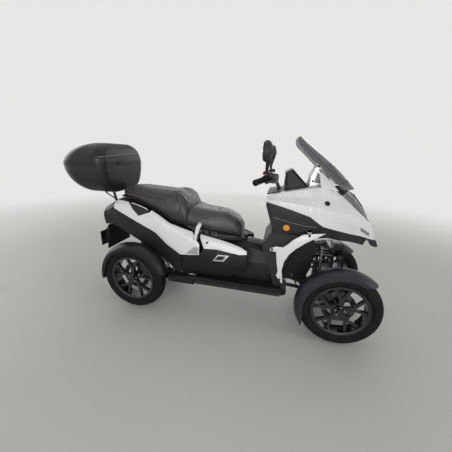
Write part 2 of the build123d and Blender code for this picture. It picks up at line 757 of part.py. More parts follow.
# Windscreen: height, then centre and edge as (distance from front axle, half width)
SCREEN = [
    (1050, 26, -66, 165), (1100, -23, -130, 186), (1177, -104, -214, 191), (1266, -214, -310, 188),
    (1380, -352, -440, 176),
]


def screen_arc(z, centre, edge, half, depth):
    """A bowed strip of a depth rearwards from the screen's outer face at one height."""
    outer = ThreePointArc((FRONT_X + edge, -half), (FRONT_X + centre, 0), (FRONT_X + edge, half))
    inner = ThreePointArc(
        (FRONT_X + edge - depth, half), (FRONT_X + centre - depth, 0), (FRONT_X + edge - depth, -half),
    )
    ends = [Line(outer @ 1, inner @ 0), Line(inner @ 1, outer @ 0)]
    return Plane.XY.offset(z) * make_face([outer, inner] + ends)


def screen_outline():
    """Front-view outline of the screen with rounded top corners."""
    return [
        (-200, 1050), (200, 1050), (200, 1290), (172, 1335), (135, 1365), (60, 1380), (-60, 1380),
        (-135, 1365), (-172, 1335), (-200, 1290),
    ]


def windscreen():
    sheet = loft([screen_arc(*row, SCREEN_T) for row in SCREEN])
    return sheet & extrude(Plane.YZ.offset(FRONT_X - 600) * face_of(screen_outline()), amount=800)


def ahead_of_screen():
    """Everything ahead of the screen's inner face."""
    rows = [(z, c - SCREEN_T, e - SCREEN_T, half, -400) for z, c, e, half in SCREEN]
    return loft([screen_arc(*row) for row in rows])


def screen_brackets():
    outline = [(-274, 1054.4), (-180, 1054.4), (-40, 1110), (-100, 1210), (-230, 1205), (-268, 1120)]
    plate = side_prism(front(outline), 88, 93)
    plate -= side_prism(front([
        (-248, 1080), (-190, 1080), (-150, 1110), (-180, 1170), (-225, 1170),
    ]), 80, 100)
    return both_sides(plate - ahead_of_screen())


def wing_brackets():
    """White Y-shaped brackets outside the leg shield."""
    outer = [
        (-148, 773), (-209, 765), (-288, 749), (-341, 711), (-376, 671), (-406, 645), (-454, 646),
        (-493, 628),
        (-493, 612), (-450, 606), (-441, 534), (-426, 458), (-436, 424), (-392, 367),
    ]
    inner = [(-386, 372), (-400, 477), (-389, 541), (-362, 598), (-321, 645), (-268, 691), (-205, 734)]
    plate = side_prism(front(outer + inner), 218, 234)
    plate += side_prism(front([(-440, 640), (-404, 630), (-404, 560), (-436, 560)]), 200, 222)
    return both_sides(plate)


# Rear body: half sections from top centre to bottom centre, each at a distance from the rear axle
REAR_SECTIONS = [
    (-306, [(0, 812), (100, 810), (148, 800), (182, 770), (190, 740), (186, 700), (176, 652), (0, 640)]),
    (-180, [(0, 884), (110, 882), (150, 872), (184, 840), (196, 790), (198, 730), (190, 640), (0, 630)]),
    (0, [(0, 862), (120, 860), (170, 850), (196, 810), (206, 740), (206, 670), (198, 540), (0, 530)]),
    (150, [(0, 812), (130, 811), (182, 806), (200, 770), (207, 690), (205, 600), (199, 380), (0, 370)]),
    (290, [(0, 736), (140, 735), (196, 726), (216, 690), (228, 610), (226, 500), (206, 250), (0, 240)]),
    (450, [(0, 692), (140, 691), (204, 684), (226, 650), (248, 560), (250, 500), (218, 300), (0, 290)]),
    (600, [(0, 668), (140, 667), (214, 660), (232, 640), (252, 570), (255, 500), (224, 320), (0, 310)]),
    (760, [(0, 640), (140, 639), (218, 632), (234, 615), (252, 550), (254, 480), (224, 330), (0, 320)]),
    (915, [(0, 590), (140, 589), (206, 584), (216, 578), (236, 545), (238, 480), (212, 400), (0, 390)]),
]
SEAT_LINE = [(-160, 897), (-43, 884), (112, 834), (250, 768), (290, 745), (507, 696), (708, 662), (850, 624)]
WHITE_TOP = [
    (-203, 872), (-81, 864), (26, 764), (118, 796), (132, 814), (224, 790), (290, 727), (480, 684),
    (508, 640), (556, 588),
]
WHITE_TAIL = [(-203, 806), (-182, 801), (33, 704), (173, 640), (267, 563), (390, 497), (547, 518)]
BLADE_TOP = [(545, 672), (716, 646), (891, 588), (905, 576)]
BLADE_LOW = [(545, 660), (585, 573), (688, 577), (856, 552), (905, 556)]
SCOOP_TOP = [(-78, 866), (74, 832), (116, 806)]
ARCH_LOW = [
    (-306, 662), (-224, 672), (-153, 640), (11, 556), (87, 520), (193, 459), (269, 401), (334, 342),
    (388, 296),
]
ARCH_TOP = [(-306, 812), (-208, 868), (-206, 803)] + lowered(WHITE_TAIL, PANEL_GAP)[1:-1]
POD_TOP = lowered([(390, 497), (547, 518), (585, 573), (688, 577), (856, 552), (905, 556)], PANEL_GAP)
POD_LOW = [
    (392, FLOOR_Z + 2), (520, FLOOR_Z + 24), (760, FLOOR_Z + 27), (858, FLOOR_Z + 70), (905, FLOOR_Z + 94),
]


def rear_panel(places, top, low, count=5):
    def line(x):
        side = blend(REAR_SECTIONS, x)[2:-1]
        return band(side, min(height_on(top, x), side[0][1]), max(height_on(low, x), side[-1][1]), count)
    return panel(REAR_X, places, line)


def body_sides():
    """White side panels and the white blade ahead of them."""
    side = rear_panel([
        -203, -182, -140, -81, -28, 26, 33, 72, 118, 132, 173, 224, 267, 290, 350, 390, 480, 508, 547,
    ], WHITE_TOP, WHITE_TAIL)
    return side + rear_panel([548, 585, 640, 688, 716, 780, 856, 905], BLADE_TOP, BLADE_LOW)


def tail_arches():
    """Black panels under the white ones, round the rear wheels, with the tail's end and the scoop inserts."""
    places = [
        -306, -260, -208, -206, -182, -153, -120, -60, 11, 33, 87, 130, 173, 193, 240, 267, 300, 334, 388,
    ]
    arch = rear_panel(places, ARCH_TOP, ARCH_LOW)
    end = [(y, z) for y, z in REAR_SECTIONS[0][1] if z > 662]
    cap = extrude(
        Plane.YZ.offset(REAR_X - 306) * face_of(full_section(end + [(170, 662), (0, 662)])), amount=WALL,
    )
    scoop = rear_panel([-55, -28, 26, 72, 110], SCOOP_TOP, [(x, z + PANEL_GAP) for x, z in WHITE_TOP], 3)
    return arch + cap + scoop


def side_pods():
    return rear_panel([392, 470, 547, 585, 688, 780, 856, 905], POD_TOP, POD_LOW)


def tail_lamp():
    lens = block(REAR_X - 318, REAR_X - 306, -118, 118, 715, 765)
    return fillet(lens.edges().filter_by(Axis.X), 12)


def seat_bucket():
    outline = [(-20, 590), (290, 590), (290, 721), (112, 815), (-20, 865)]
    hollow = [(-15, 595), (285, 595), (285, 740), (112, 840), (-15, 900)]
    tub = side_prism(rear(outline), -BUCKET_HALF, BUCKET_HALF)
    tub -= side_prism(rear(hollow), 5 - BUCKET_HALF, BUCKET_HALF - 5)
    rim_line = [(-30, 866), (112, 812), (300, 713), (300, 717), (112, 816), (-30, 870)]
    rim_plate = side_prism(rear(rim_line), -138, 138) - side_prism(
        rear(hollow), 5 - BUCKET_HALF, BUCKET_HALF - 5,
    )
    return tub + rim_plate


# Seat


def seat_pan():
    line = SEAT_LINE
    outline = [(x, z) for x, z in line] + [(x, z + PAN_T) for x, z in reversed(line)]
    pan = side_prism(rear(outline), -168, 168)
    plan = [(-200, 100), (-150, 130), (250, 166), (520, 166), (720, 140), (850, 70)]
    left = [(REAR_X + x, y) for x, y in plan]
    pan &= plan_prism(left + [(x, -y) for x, y in reversed(left)], 500, 1000)
    x, z = SEAT_HINGE
    pan += rod((REAR_X + x, -HINGE_HALF, z), (REAR_X + x, HINGE_HALF, z), SEAT_PIN_R + 5)
    pan += block(REAR_X + x - 24, REAR_X + x, -HINGE_HALF, HINGE_HALF, z - 11, z + 6)
    return pan - rod((REAR_X + x, -40, z), (REAR_X + x, 40, z), SEAT_PIN_R + RUN_GAP)


def cushion(rows):
    """A cushion through (x, half width at foot, half width, shoulder height, top height) rows."""
    stations = []
    for x, foot, half, shoulder, top in rows:
        base = height_on(SEAT_LINE, x) + PAN_T + FIT_GAP
        left = [(0, base), (foot, base), (half, (base + shoulder) / 2), (half - 4, shoulder)]
        left += [(0.78 * half, top - 8), (0.4 * half, top), (0, top)]
        stations.append((REAR_X + x, left + [(-y, z) for y, z in left[-2:0:-1]]))
    return loft_along(stations, ruled=True)


def passenger_seat():
    return cushion([
        (-158, 100, 108, 944, 964), (-110, 116, 128, 946, 972), (-43, 130, 146, 938, 976),
        (112, 148, 162, 920, 966),
        (250, 158, 174, 900, 958), (290, 164, 180, 905, 964), (350, 166, 186, 890, 967),
        (400, 166, 186, 850, 930),
        (428, 166, 182, 815, 868),
    ])


def rider_seat():
    return cushion([
        (428 + PANEL_GAP, 164, 184, 800, 858), (507, 164, 180, 777, 834), (620, 152, 166, 770, 822),
        (708, 130, 142, 762, 816),
        (790, 98, 112, 735, 782), (828, 72, 84, 704, 738), (838, 66, 76, 692, 722),
    ])


# Rack and top case: height, front and rear from the rear axle, half width, rear corner radius
CASE_ROWS = [
    (CASE_FLOOR_Z, -216, -448, 198, 100), (1000, -205, -572, 246, 150), (1080, -198, -628, 268, 170),
    (CASE_SEAM_Z, -195, -REAR_OVERHANG, 276, 180), (1222, -200, -592, 264, 170), (1268, -212, -510, 232, 140),
    (1306, -245, -360, 150, 50),
]


def case_section(z, ahead, behind, half, corner, wall=0):
    plan = Rectangle(ahead - behind - 2 * wall, 2 * (half - wall))
    plan = fillet(plan.vertices().group_by(Axis.X)[0], corner - wall)
    plan = fillet(plan.vertices().group_by(Axis.X)[-1], min(CASE_CORNER, corner - 2) - wall)
    return Plane.XY.offset(z) * (Pos(REAR_X + (ahead + behind) / 2, 0) * plan)


def rack():
    plate = block(REAR_X - 460, REAR_X - 235, -110, 110, CASE_FLOOR_Z - 18, CASE_FLOOR_Z - 6)
    plate = fillet(plate.edges().filter_by(Axis.Z), 30)
    x, y, z = REAR_X + TAIL_END[0], TAIL_END[1], TAIL_END[2]
    bridge = tube([
        (x - FIT_GAP, y, z + FIT_GAP), (x - 34, y, z + 24), (x - 80, 95, CASE_FLOOR_Z - 14),
    ], 11, 20)
    stay = tube([(REAR_X - 212, 146, 878), (REAR_X - 300, 146, 926), (REAR_X - 300, 100, 928)], 5, 8)
    plate += both_sides(bridge)
    plate += both_sides(stay)
    feet = [(REAR_X + x, y) for x in (-270, -420) for y in (-70, 70)]
    for x, y in feet:
        plate += rod((x, y, CASE_FLOOR_Z - 8), (x, y, CASE_FLOOR_Z), 14)
    return plate


def case_base():
    rows = CASE_ROWS[:4]
    outer = loft([case_section(*row) for row in rows])
    floor = (CASE_FLOOR_Z + CASE_WALL,) + rows[0][1:]
    inner = loft([case_section(*row, CASE_WALL) for row in [floor] + rows[1:]])
    x, z = REAR_X + LID_HINGE[0], LID_HINGE[1]
    end = LID_BARREL + 30
    ears = rod((x, LID_BARREL + 1, z), (x, end, z), LID_PIN_R + 3)
    ears += block(x - 8, x, LID_BARREL + 1, end, z - 9, z - 1)
    return (outer - inner) + both_sides(ears) + rod((x, -end, z), (x, end, z), LID_PIN_R)


def case_lid():
    seam = (CASE_SEAM_Z + PANEL_GAP,) + CASE_ROWS[3][1:]
    rows = [seam] + CASE_ROWS[4:]
    outer = loft([case_section(*row) for row in rows])
    top = (CASE_ROWS[-1][0] - CASE_WALL,) + CASE_ROWS[-1][1:]
    inner = loft([case_section(*row, CASE_WALL) for row in rows[:-1] + [top]])
    x, z = REAR_X + LID_HINGE[0], LID_HINGE[1]
    barrel = rod((x, -LID_BARREL, z), (x, LID_BARREL, z), LID_PIN_R + 3)
    barrel += block(x - 9, x, -LID_BARREL, LID_BARREL, z + 2, z + 8)
    barrel -= rod((x, -LID_BARREL - 1, z), (x, LID_BARREL + 1, z), LID_PIN_R + RUN_GAP)
    return (outer - inner) + barrel


def plate_holder():
    arm = side_prism(rear([
        (-306 - FIT_GAP, 705), (-314, 705), (-316, 660), (-335, 640), (-428, 560), (-443, 480),
        (-428, 480), (-412, 548),
        (-330, 618), (-306 - FIT_GAP, 640),
    ]), -60, 60)
    plate = block(REAR_X - 446, REAR_X - 440, -105, 105, 420, 552)
    arm += plate
    flap = side_prism(rear([(-307, 645), (-318, 640), (-345, 420), (-338, 420)]), -150, 150)
    arm += flap
    for y in (-PLATE_HOLE_Y, PLATE_HOLE_Y):
        arm -= rod((REAR_X - 470, y, PLATE_HOLE_Z), (REAR_X - 430, y, PLATE_HOLE_Z), PLATE_HOLE_R)
    return arm


# Rear suspension


def rear_arm():
    inner, outer = REAR_ARM_Y
    outline = [
        (-34, -30), (-34, 34), (60, 42), (300, 36), (REAR_PIVOT_X + 28, 32), (REAR_PIVOT_X + 28, -14),
        (300, -24), (60, -36),
    ]
    arm = side_prism(outline, inner, outer)
    arm += spindle(outer - 4)
    arm += caliper(40)
    x, z = SHOCK_LOW
    arm += block(x - 12, x + 12, outer - 7, outer, z - 30, z + 10)
    arm += rod((x, SHOCK_Y - 14, z), (x, outer, z), SHOCK_PIN_R)
    arm += side_prism([
        (-22, -10), (22, -10), (34, GUARD_LIP + 6), (-34, GUARD_LIP + 6),
    ], FLANK_Y - 8, FLANK_Y)
    pivot = (REAR_PIVOT_X, REAR_PIVOT_Z)
    return arm - rod((pivot[0], inner - 1, pivot[1]), (pivot[0], outer + 1, pivot[1]), PIVOT_R + FIT_GAP)


def rear_shock():
    low = (SHOCK_LOW[0], SHOCK_Y, SHOCK_LOW[1])
    top = (SHOCK_TOP[0], SHOCK_Y, SHOCK_TOP[1])
    return strut(low, top, (0, 0.9, 0), SHOCK_PIN_R, 20, 10)


# Handlebar


def handlebar():
    centre = steer_point(0)
    column = rod(steer_point(-6), steer_point(COLUMN_L), COLUMN_R)
    column += rod(steer_point(HEAD_TOP - 20), steer_point(HEAD_TOP - 1), 20)
    run = [
        (centre[0], 0, BAR_Z), (centre[0] - 8, 110, BAR_Z + 4), (centre[0] - 32, 190, BAR_Z + 25),
        bar_end(1),
    ]
    column += both_sides(tube(run, BAR_R, 30))
    cover = block(centre[0] - 34, centre[0] + 24, -80, 80, BAR_Z - 26, BAR_Z + 44)
    return column + fillet(cover.edges().filter_by(Axis.Y), 16)


def bar_end(side):
    return (FRONT_X - 606, side * 372, 1093)


def grip_point(share):
    """A point along the straight end of the bar, 0 at its bend and 1 at its tip."""
    start = Vector(FRONT_X + BAR_F - 32, 190, BAR_Z + 25)
    return tuple(start + (Vector(*bar_end(1)) - start) * share)


def controls():
    """Grip, switch housing and lever on each side."""
    grip = rod(grip_point(0.38), grip_point(1.02), 17)
    housing = rod(grip_point(0.2), grip_point(0.36), 24)
    x, y, z = grip_point(0.26)
    lever = tube([(x + 20, y, z - 4), (x + 62, y + 26, z - 2), (FRONT_X - 548, 366, z - 14)], 6, 12)
    piece = grip + (housing + lever)
    return both_sides(piece - rod(grip_point(0.1), grip_point(1), BAR_R + FIT_GAP))


def mirrors():
    x, y, z = MIRROR
    rows = [(-30, 42, 44), (-22, 54, 57), (0, 56, 60), (18, 40, 42), (28, 12, 14)]
    faces = [Plane.YZ.offset(FRONT_X + x + dx) * (Pos(y, z) * Ellipse(wide, tall)) for dx, wide, tall in rows]
    head = loft(faces)
    gx, gy, gz = grip_point(0.28)
    stem = tube([(gx + 4, gy, gz + 25.7), (gx, gy + 10, gz + 60), (FRONT_X + x + 4, y - 20, z - 40)], 6, 15)
    return both_sides(head + stem)


# Passenger footrests, folded up, on a cross tube that stands on the frame


def footrest():
    outline = [
        (-REST_HALF, -11), (REST_HALF, -11), (REST_HALF, 16), (46, 112), (30, 124), (6, 92),
        (-REST_HALF, 20),
    ]
    blade = side_prism(rear([(REST_X + x, REST_Z + z) for x, z in outline]), REST_Y - 8, REST_Y + 8)
    x = REAR_X + REST_X
    return blade - rod((x - 40, REST_Y, REST_Z), (x + 40, REST_Y, REST_Z), REST_PIN_R + RUN_GAP)


def rest_hangers():
    x = REAR_X + REST_X
    side = rod((x - REST_HALF - 6, REST_Y, REST_Z), (x + REST_HALF + 6, REST_Y, REST_Z), REST_PIN_R)
    for start in (x - REST_HALF - 6, x + REST_HALF + 1):
        side += block(start, start + 5, REST_Y - 34, REST_Y + 8, REST_Z - 9, REST_Z + 9)
    side += block(x - REST_HALF - 6, x + REST_HALF + 6, REST_Y - 40, REST_Y - 14, REST_Z - 9, REST_Z + 9)
    side += upright(7)
    return both_sides(side) + rod((x, 20 - REST_Y, REST_Z), (x, REST_Y - 20, REST_Z), 9)


def upright(radius):
    """Post from a frame rail up to the footrest cross tube."""
    x = REAR_X + REST_X
    return rod((x, RAIL_Y + 6, RAIL_Z + RAIL_R + 0.8), (x, RAIL_Y + 6, REST_Z), radius)


def build():
    nodes = {
        "frame": frame(),
        "power_block": power_block(),
        "tilt_tower": at_front_axle(tilt_tower()),
        "tilt_arms": at_front_axle(tilt_arms()),
        "tilt_struts": at_front_axle(tilt_struts()),
        "floor_pan": floor_pan(),
        "tunnel_cover": tunnel_cover(),
        "leg_shield": leg_shield(),
        "front_keel": front_keel(),
        "fairing": fairing(),
        "side_panels": side_panels(),
        "lamp_panel": lamp_panel(),
        "beak": beak(),
        "side_lamps": side_lamps(),
        "windscreen": windscreen(),
        "screen_brackets": screen_brackets(),
        "dash": dash(),
        "wing_brackets": wing_brackets(),
        "body_sides": body_sides(),
        "tail_arches": tail_arches(),
        "side_pods": side_pods(),
        "tail_lamp": tail_lamp(),
        "seat_bucket": seat_bucket(),
        "seat_pan": seat_pan(),
        "rider_seat": rider_seat(),
        "passenger_seat": passenger_seat(),
        "rack": rack(),
        "case_base": case_base(),
        "case_lid": case_lid(),
        "plate_holder": plate_holder(),
        "rear_arms": at_rear_axle(both_sides(rear_arm())),
        "rear_shocks": at_rear_axle(both_sides(rear_shock())),
        "handlebar": handlebar(),
        "controls": controls(),
        "mirrors": mirrors(),
        "steer_crank": at_front_axle(steer_crank()),
        "rest_hangers": rest_hangers(),
    }
    guards = {"front": (mudguard(190, 217, 48, 62), FRONT_X), "rear": (mudguard(170, 191, 12, 26), REAR_X)}
    cast, ring = rim(), tyre()
    left = at_front_axle(knuckle()), at_front_axle(tie_rod()), footrest()
    for side, name in ((1, "left"), (-1, "right")):
        for end, (guard, x) in guards.items():
            nodes[f"{end}_mudguard_{name}"] = on_axle(guard, x, side)
            nodes[f"{end}_rim_{name}"] = on_axle(cast, x, side)
            nodes[f"{end}_tyre_{name}"] = on_axle(ring, x, side)
        for piece, kind in zip(left, ("knuckle", "tie_rod", "footrest")):
            nodes[f"{kind}_{name}"] = piece if side > 0 else mirror(piece, about=Plane.XZ)
    return nodes


os.makedirs("parts", exist_ok=True)
for node, shape in build().items():
    export_step(shape, f"parts/{node}.step")
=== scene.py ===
"""Looks of the tilting four-wheel scooter, in metres: +X forward, +Y left, +Z up."""

import math

import bmesh
import bpy
from mathutils import Matrix, Vector
from mathutils.bvhtree import BVHTree
from mathutils.kdtree import KDTree


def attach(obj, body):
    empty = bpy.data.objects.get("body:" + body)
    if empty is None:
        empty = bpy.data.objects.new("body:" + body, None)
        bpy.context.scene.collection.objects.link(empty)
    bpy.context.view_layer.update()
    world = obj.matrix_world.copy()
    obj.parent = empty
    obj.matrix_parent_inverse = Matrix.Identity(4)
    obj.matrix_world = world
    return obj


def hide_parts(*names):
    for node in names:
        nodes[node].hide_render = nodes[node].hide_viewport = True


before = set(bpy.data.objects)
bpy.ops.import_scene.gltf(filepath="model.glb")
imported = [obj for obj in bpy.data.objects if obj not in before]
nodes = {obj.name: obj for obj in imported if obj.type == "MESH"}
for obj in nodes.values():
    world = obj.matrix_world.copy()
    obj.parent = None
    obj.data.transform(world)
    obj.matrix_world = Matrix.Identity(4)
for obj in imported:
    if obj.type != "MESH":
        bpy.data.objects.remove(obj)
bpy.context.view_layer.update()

FRONT_X = 0.967
REAR_X = -0.593
AXLE_Z = 0.266
WHEEL_Y = 0.275
TYRE_R = 0.266
IMAGE_SIZE = 452
BACKDROP = (0.80, 0.795, 0.78)
CLEAR_SIDE = 0.8
CLEAR_END = 1.6
TREAD_COLUMNS = 16
GROOVE_DEPTH = 0.0045
SIDES = ((1, "left"), (-1, "right"))
ENDS = (("front", FRONT_X), ("rear", REAR_X))


# Camera, floor and light


def add_camera():
    place = Vector((FRONT_X - 0.46445, -1.74076, 1.25234))
    yaw, pitch, roll = -0.227538, -0.303060, 0.0273025
    focal_px = 228.348
    ahead = Vector((math.sin(yaw) * math.cos(pitch), math.cos(yaw) * math.cos(pitch), math.sin(pitch)))
    level_right = ahead.cross(Vector((0, 0, 1))).normalized()
    level_up = level_right.cross(ahead)
    right = level_right * math.cos(roll) + level_up * math.sin(roll)
    up = level_up * math.cos(roll) - level_right * math.sin(roll)
    camera = bpy.data.objects.new("camera", bpy.data.cameras.new("camera"))
    camera.matrix_world = Matrix((right, up, -ahead)).transposed().to_4x4()
    camera.location = place
    camera.data.sensor_width = 36
    camera.data.lens = focal_px / IMAGE_SIZE * camera.data.sensor_width
    camera.data.shift_y = -1 / IMAGE_SIZE
    camera.data.clip_start = 0.05
    bpy.context.collection.objects.link(camera)
    bpy.context.scene.camera = camera


def add_floor():
    """A grey floor that fades into the pale backdrop some way off."""
    mesh = bpy.data.meshes.new("floor")
    mesh.from_pydata([(-30, -30, 0), (30, -30, 0), (30, 30, 0), (-30, 30, 0)], [], [(0, 1, 2, 3)])
    floor = bpy.data.objects.new("floor", mesh)
    bpy.context.collection.objects.link(floor)
    material, tree, shader = new_material("floor", (0.66, 0.655, 0.63), 0.5)
    vary_roughness(tree, shader, 6, 0.44, 0.56)
    reach = tree.nodes.new("ShaderNodeVectorMath")
    reach.operation = "LENGTH"
    tree.links.new(place_node(tree), reach.inputs[0])
    fade = tree.nodes.new("ShaderNodeMapRange")
    fade.interpolation_type = "SMOOTHSTEP"
    fade.inputs["From Min"].default_value = 2.2
    fade.inputs["From Max"].default_value = 6.5
    tree.links.new(reach.outputs["Value"], fade.inputs["Value"])
    glow = tree.nodes.new("ShaderNodeEmission")
    glow.inputs["Color"].default_value = (*BACKDROP, 1)
    mix = tree.nodes.new("ShaderNodeMixShader")
    tree.links.new(fade.outputs["Result"], mix.inputs[0])
    tree.links.new(shader.outputs["BSDF"], mix.inputs[1])
    tree.links.new(glow.outputs["Emission"], mix.inputs[2])
    tree.links.new(mix.outputs["Shader"], tree.nodes["Material Output"].inputs["Surface"])
    mesh.materials.append(material)


def add_area_light(name, place, target, size, power):
    light = bpy.data.lights.new(name, "AREA")
    light.shape = "RECTANGLE"
    light.size, light.size_y = size
    light.energy = power
    lamp = bpy.data.objects.new(name, light)
    lamp.location = place
    lamp.rotation_euler = (Vector(target) - Vector(place)).to_track_quat("-Z", "Y").to_euler()
    bpy.context.collection.objects.link(lamp)


def add_world():
    """Even light all round, with a pale backdrop where the camera, metal and glass see it."""
    world = bpy.data.worlds.new("studio")
    bpy.context.scene.world = world
    world.use_nodes = True
    tree = world.node_tree
    background = tree.nodes["Background"]
    background.inputs["Color"].default_value = (*BACKDROP, 1)
    path = tree.nodes.new("ShaderNodeLightPath")
    seen = path.outputs["Is Camera Ray"]
    for ray in ("Is Glossy Ray", "Is Transmission Ray"):
        either = tree.nodes.new("ShaderNodeMath")
        either.operation = "MAXIMUM"
        tree.links.new(seen, either.inputs[0])
        tree.links.new(path.outputs[ray], either.inputs[1])
        seen = either.outputs["Value"]
    strength = tree.nodes.new("ShaderNodeMapRange")
    strength.inputs["To Min"].default_value = 0.30
    strength.inputs["To Max"].default_value = 1.0
    tree.links.new(seen, strength.inputs["Value"])
    tree.links.new(strength.outputs["Result"], background.inputs["Strength"])


# Materials


def new_material(name, color, roughness, metallic=0.0):
    material = bpy.data.materials.new(name)
    material.use_nodes = True
    tree = material.node_tree
    shader = tree.nodes["Principled BSDF"]
    shader.inputs["Base Color"].default_value = (*color, 1)
    shader.inputs["Roughness"].default_value = roughness
    shader.inputs["Metallic"].default_value = metallic
    return material, tree, shader


def place_node(tree):
    return tree.nodes.new("ShaderNodeTexCoord").outputs["Object"]


def noise(tree, scale, detail=4.0):
    node = tree.nodes.new("ShaderNodeTexNoise")
    node.inputs["Scale"].default_value = scale
    node.inputs["Detail"].default_value = detail
    tree.links.new(place_node(tree), node.inputs["Vector"])
    return node.outputs["Fac"]


def spread(tree, value, low, high):
    """A 0 to 1 value stretched to a range."""
    node = tree.nodes.new("ShaderNodeMapRange")
    node.inputs["From Min"].default_value = 0.3
    node.inputs["From Max"].default_value = 0.7
    node.inputs["To Min"].default_value = low
    node.inputs["To Max"].default_value = high
    tree.links.new(value, node.inputs["Value"])
    return node.outputs["Result"]


def vary_roughness(tree, shader, scale, low, high):
    tree.links.new(spread(tree, noise(tree, scale), low, high), shader.inputs["Roughness"])


def vary_color(tree, shader, scale, dark, light):
    mix = tree.nodes.new("ShaderNodeMix")
    mix.data_type = "RGBA"
    mix.inputs["A"].default_value = (*dark, 1)
    mix.inputs["B"].default_value = (*light, 1)
    tree.links.new(spread(tree, noise(tree, scale), 0, 1), mix.inputs["Factor"])
    tree.links.new(mix.outputs["Result"], shader.inputs["Base Color"])


def bump(tree, shader, height, strength, distance):
    node = tree.nodes.new("ShaderNodeBump")
    node.inputs["Strength"].default_value = strength
    node.inputs["Distance"].default_value = distance
    tree.links.new(height, node.inputs["Height"])
    tree.links.new(node.outputs["Normal"], shader.inputs["Normal"])


def pebbles(tree, scale):
    node = tree.nodes.new("ShaderNodeTexVoronoi")
    node.feature = "SMOOTH_F1"
    node.inputs["Scale"].default_value = scale
    tree.links.new(place_node(tree), node.inputs["Vector"])
    return node.outputs["Distance"]


def lacquer(name, color, roughness, coat):
    material, tree, shader = new_material(name, color, roughness)
    vary_color(tree, shader, 9, [c * 0.965 for c in color], color)
    vary_roughness(tree, shader, 30, roughness * 0.85, roughness * 1.2)
    bump(tree, shader, noise(tree, 420, 2), 0.05, 0.0004)
    shader.inputs["Coat Weight"].default_value = coat
    shader.inputs["Coat Roughness"].default_value = 0.06
    return material


def moulded(name, color, roughness, grain):
    """Grained moulded plastic with faint scuffs."""
    material, tree, shader = new_material(name, color, roughness)
    vary_color(tree, shader, 14, [c * 0.8 for c in color], [c * 1.2 for c in color])
    vary_roughness(tree, shader, 22, roughness - 0.06, roughness + 0.08)
    bump(tree, shader, pebbles(tree, grain), 0.25, 0.0003)
    shader.inputs["Specular IOR Level"].default_value = 0.3
    return material


def bare_metal(name, color, roughness):
    material, tree, shader = new_material(name, color, roughness, 1.0)
    vary_roughness(tree, shader, 60, roughness * 0.7, roughness * 1.3)
    bump(tree, shader, noise(tree, 900, 2), 0.06, 0.0003)
    return material


def rubber():
    material, tree, shader = new_material("tyre_rubber", (0.009, 0.009, 0.009), 0.72)
    vary_color(tree, shader, 18, (0.006, 0.006, 0.006), (0.014, 0.0135, 0.013))
    vary_roughness(tree, shader, 40, 0.66, 0.84)
    bump(tree, shader, noise(tree, 700), 0.2, 0.0006)
    shader.inputs["Specular IOR Level"].default_value = 0.15
    return material


def leather(name, dark, light):
    material, tree, shader = new_material(name, light, 0.42)
    vary_color(tree, shader, 11, dark, light)
    vary_roughness(tree, shader, 26, 0.36, 0.52)
    bump(tree, shader, pebbles(tree, 620), 0.45, 0.0006)
    shader.inputs["Sheen Weight"].default_value = 0.12
    return material


def lens(name, color, clear):
    material, tree, shader = new_material(name, color, 0.08)
    bump(tree, shader, pebbles(tree, 240), 0.3, 0.0008)
    shader.inputs["Coat Weight"].default_value = 0.7
    shader.inputs["Transmission Weight"].default_value = clear
    return material


def smoked():
    material, tree, shader = new_material("smoked_sheet", (0.24, 0.245, 0.255), 0.12)
    vary_roughness(tree, shader, 15, 0.10, 0.16)
    shader.inputs["Transmission Weight"].default_value = 0.55
    shader.inputs["IOR"].default_value = 1.12
    return material


def dark_glass():
    material, tree, shader = new_material("dark_glass", (0.012, 0.012, 0.014), 0.05)
    vary_roughness(tree, shader, 12, 0.03, 0.07)
    shader.inputs["Coat Weight"].default_value = 1.0
    shader.inputs["Coat Roughness"].default_value = 0.02
    return material


WHITE = lacquer("white_lacquer", (0.80, 0.81, 0.83), 0.24, 0.6)
CHARCOAL = moulded("charcoal_plastic", (0.024, 0.0245, 0.027), 0.48, 1500)
BLACK = moulded("black_plastic", (0.009, 0.009, 0.010), 0.44, 1500)
SATIN = moulded("satin_black", (0.016, 0.0165, 0.018), 0.34, 2200)
RIB = moulded("rib_plastic", (0.050, 0.051, 0.055), 0.42, 1500)
GUARD = moulded("front_guard_black", (0.026, 0.028, 0.037), 0.34, 2400)
REAR_GUARD = moulded("rear_guard_black", (0.011, 0.011, 0.013), 0.32, 2400)
CASE = moulded("case_black", (0.019, 0.019, 0.020), 0.28, 1800)
PAINTED = lacquer("black_paint", (0.008, 0.008, 0.009), 0.34, 0.2)
WHEEL = lacquer("wheel_black", (0.004, 0.004, 0.0045), 0.20, 0.5)
STEEL = bare_metal("bare_steel", (0.52, 0.52, 0.54), 0.30)
DISC = bare_metal("disc_steel", (0.13, 0.13, 0.135), 0.34)
ALLOY = bare_metal("cast_alloy", (0.62, 0.63, 0.65), 0.38)
GUNMETAL = bare_metal("gun_metal", (0.15, 0.15, 0.16), 0.36)
TYRE = rubber()
SEAT = leather("seat_leather", (0.027, 0.025, 0.0245), (0.046, 0.042, 0.041))
SEAT_SIDE = leather("seat_side_leather", (0.060, 0.061, 0.067), (0.092, 0.093, 0.102))
SEAT_EAR = leather("seat_ear_leather", (0.038, 0.0375, 0.039), (0.060, 0.059, 0.062))
SEAM = moulded("seam_thread", (0.009, 0.009, 0.009), 0.6, 900)
AMBER = lens("amber_lens", (0.95, 0.34, 0.015), 0.1)
RED = lens("red_lens", (0.45, 0.012, 0.015), 0.2)
GREY_LENS = lens("grey_lens", (0.26, 0.26, 0.28), 0.2)
SMOKED = smoked()
SMOKE_EDGE = moulded("smoke_edge", (0.030, 0.030, 0.033), 0.25, 900)
GLASS = dark_glass()
MIRROR = bare_metal("mirror_silver", (0.80, 0.81, 0.82), 0.03)
# Pale grey lines: a painted highlight along the case lid's crease, a pale line on the side panels, and seam
# lines on the white body.
PALE_LINE = lacquer("pale_line", (0.36, 0.36, 0.37), 0.35, 0.1)
GREY = lacquer("grey_lacquer", (0.36, 0.365, 0.385), 0.30, 0.4)
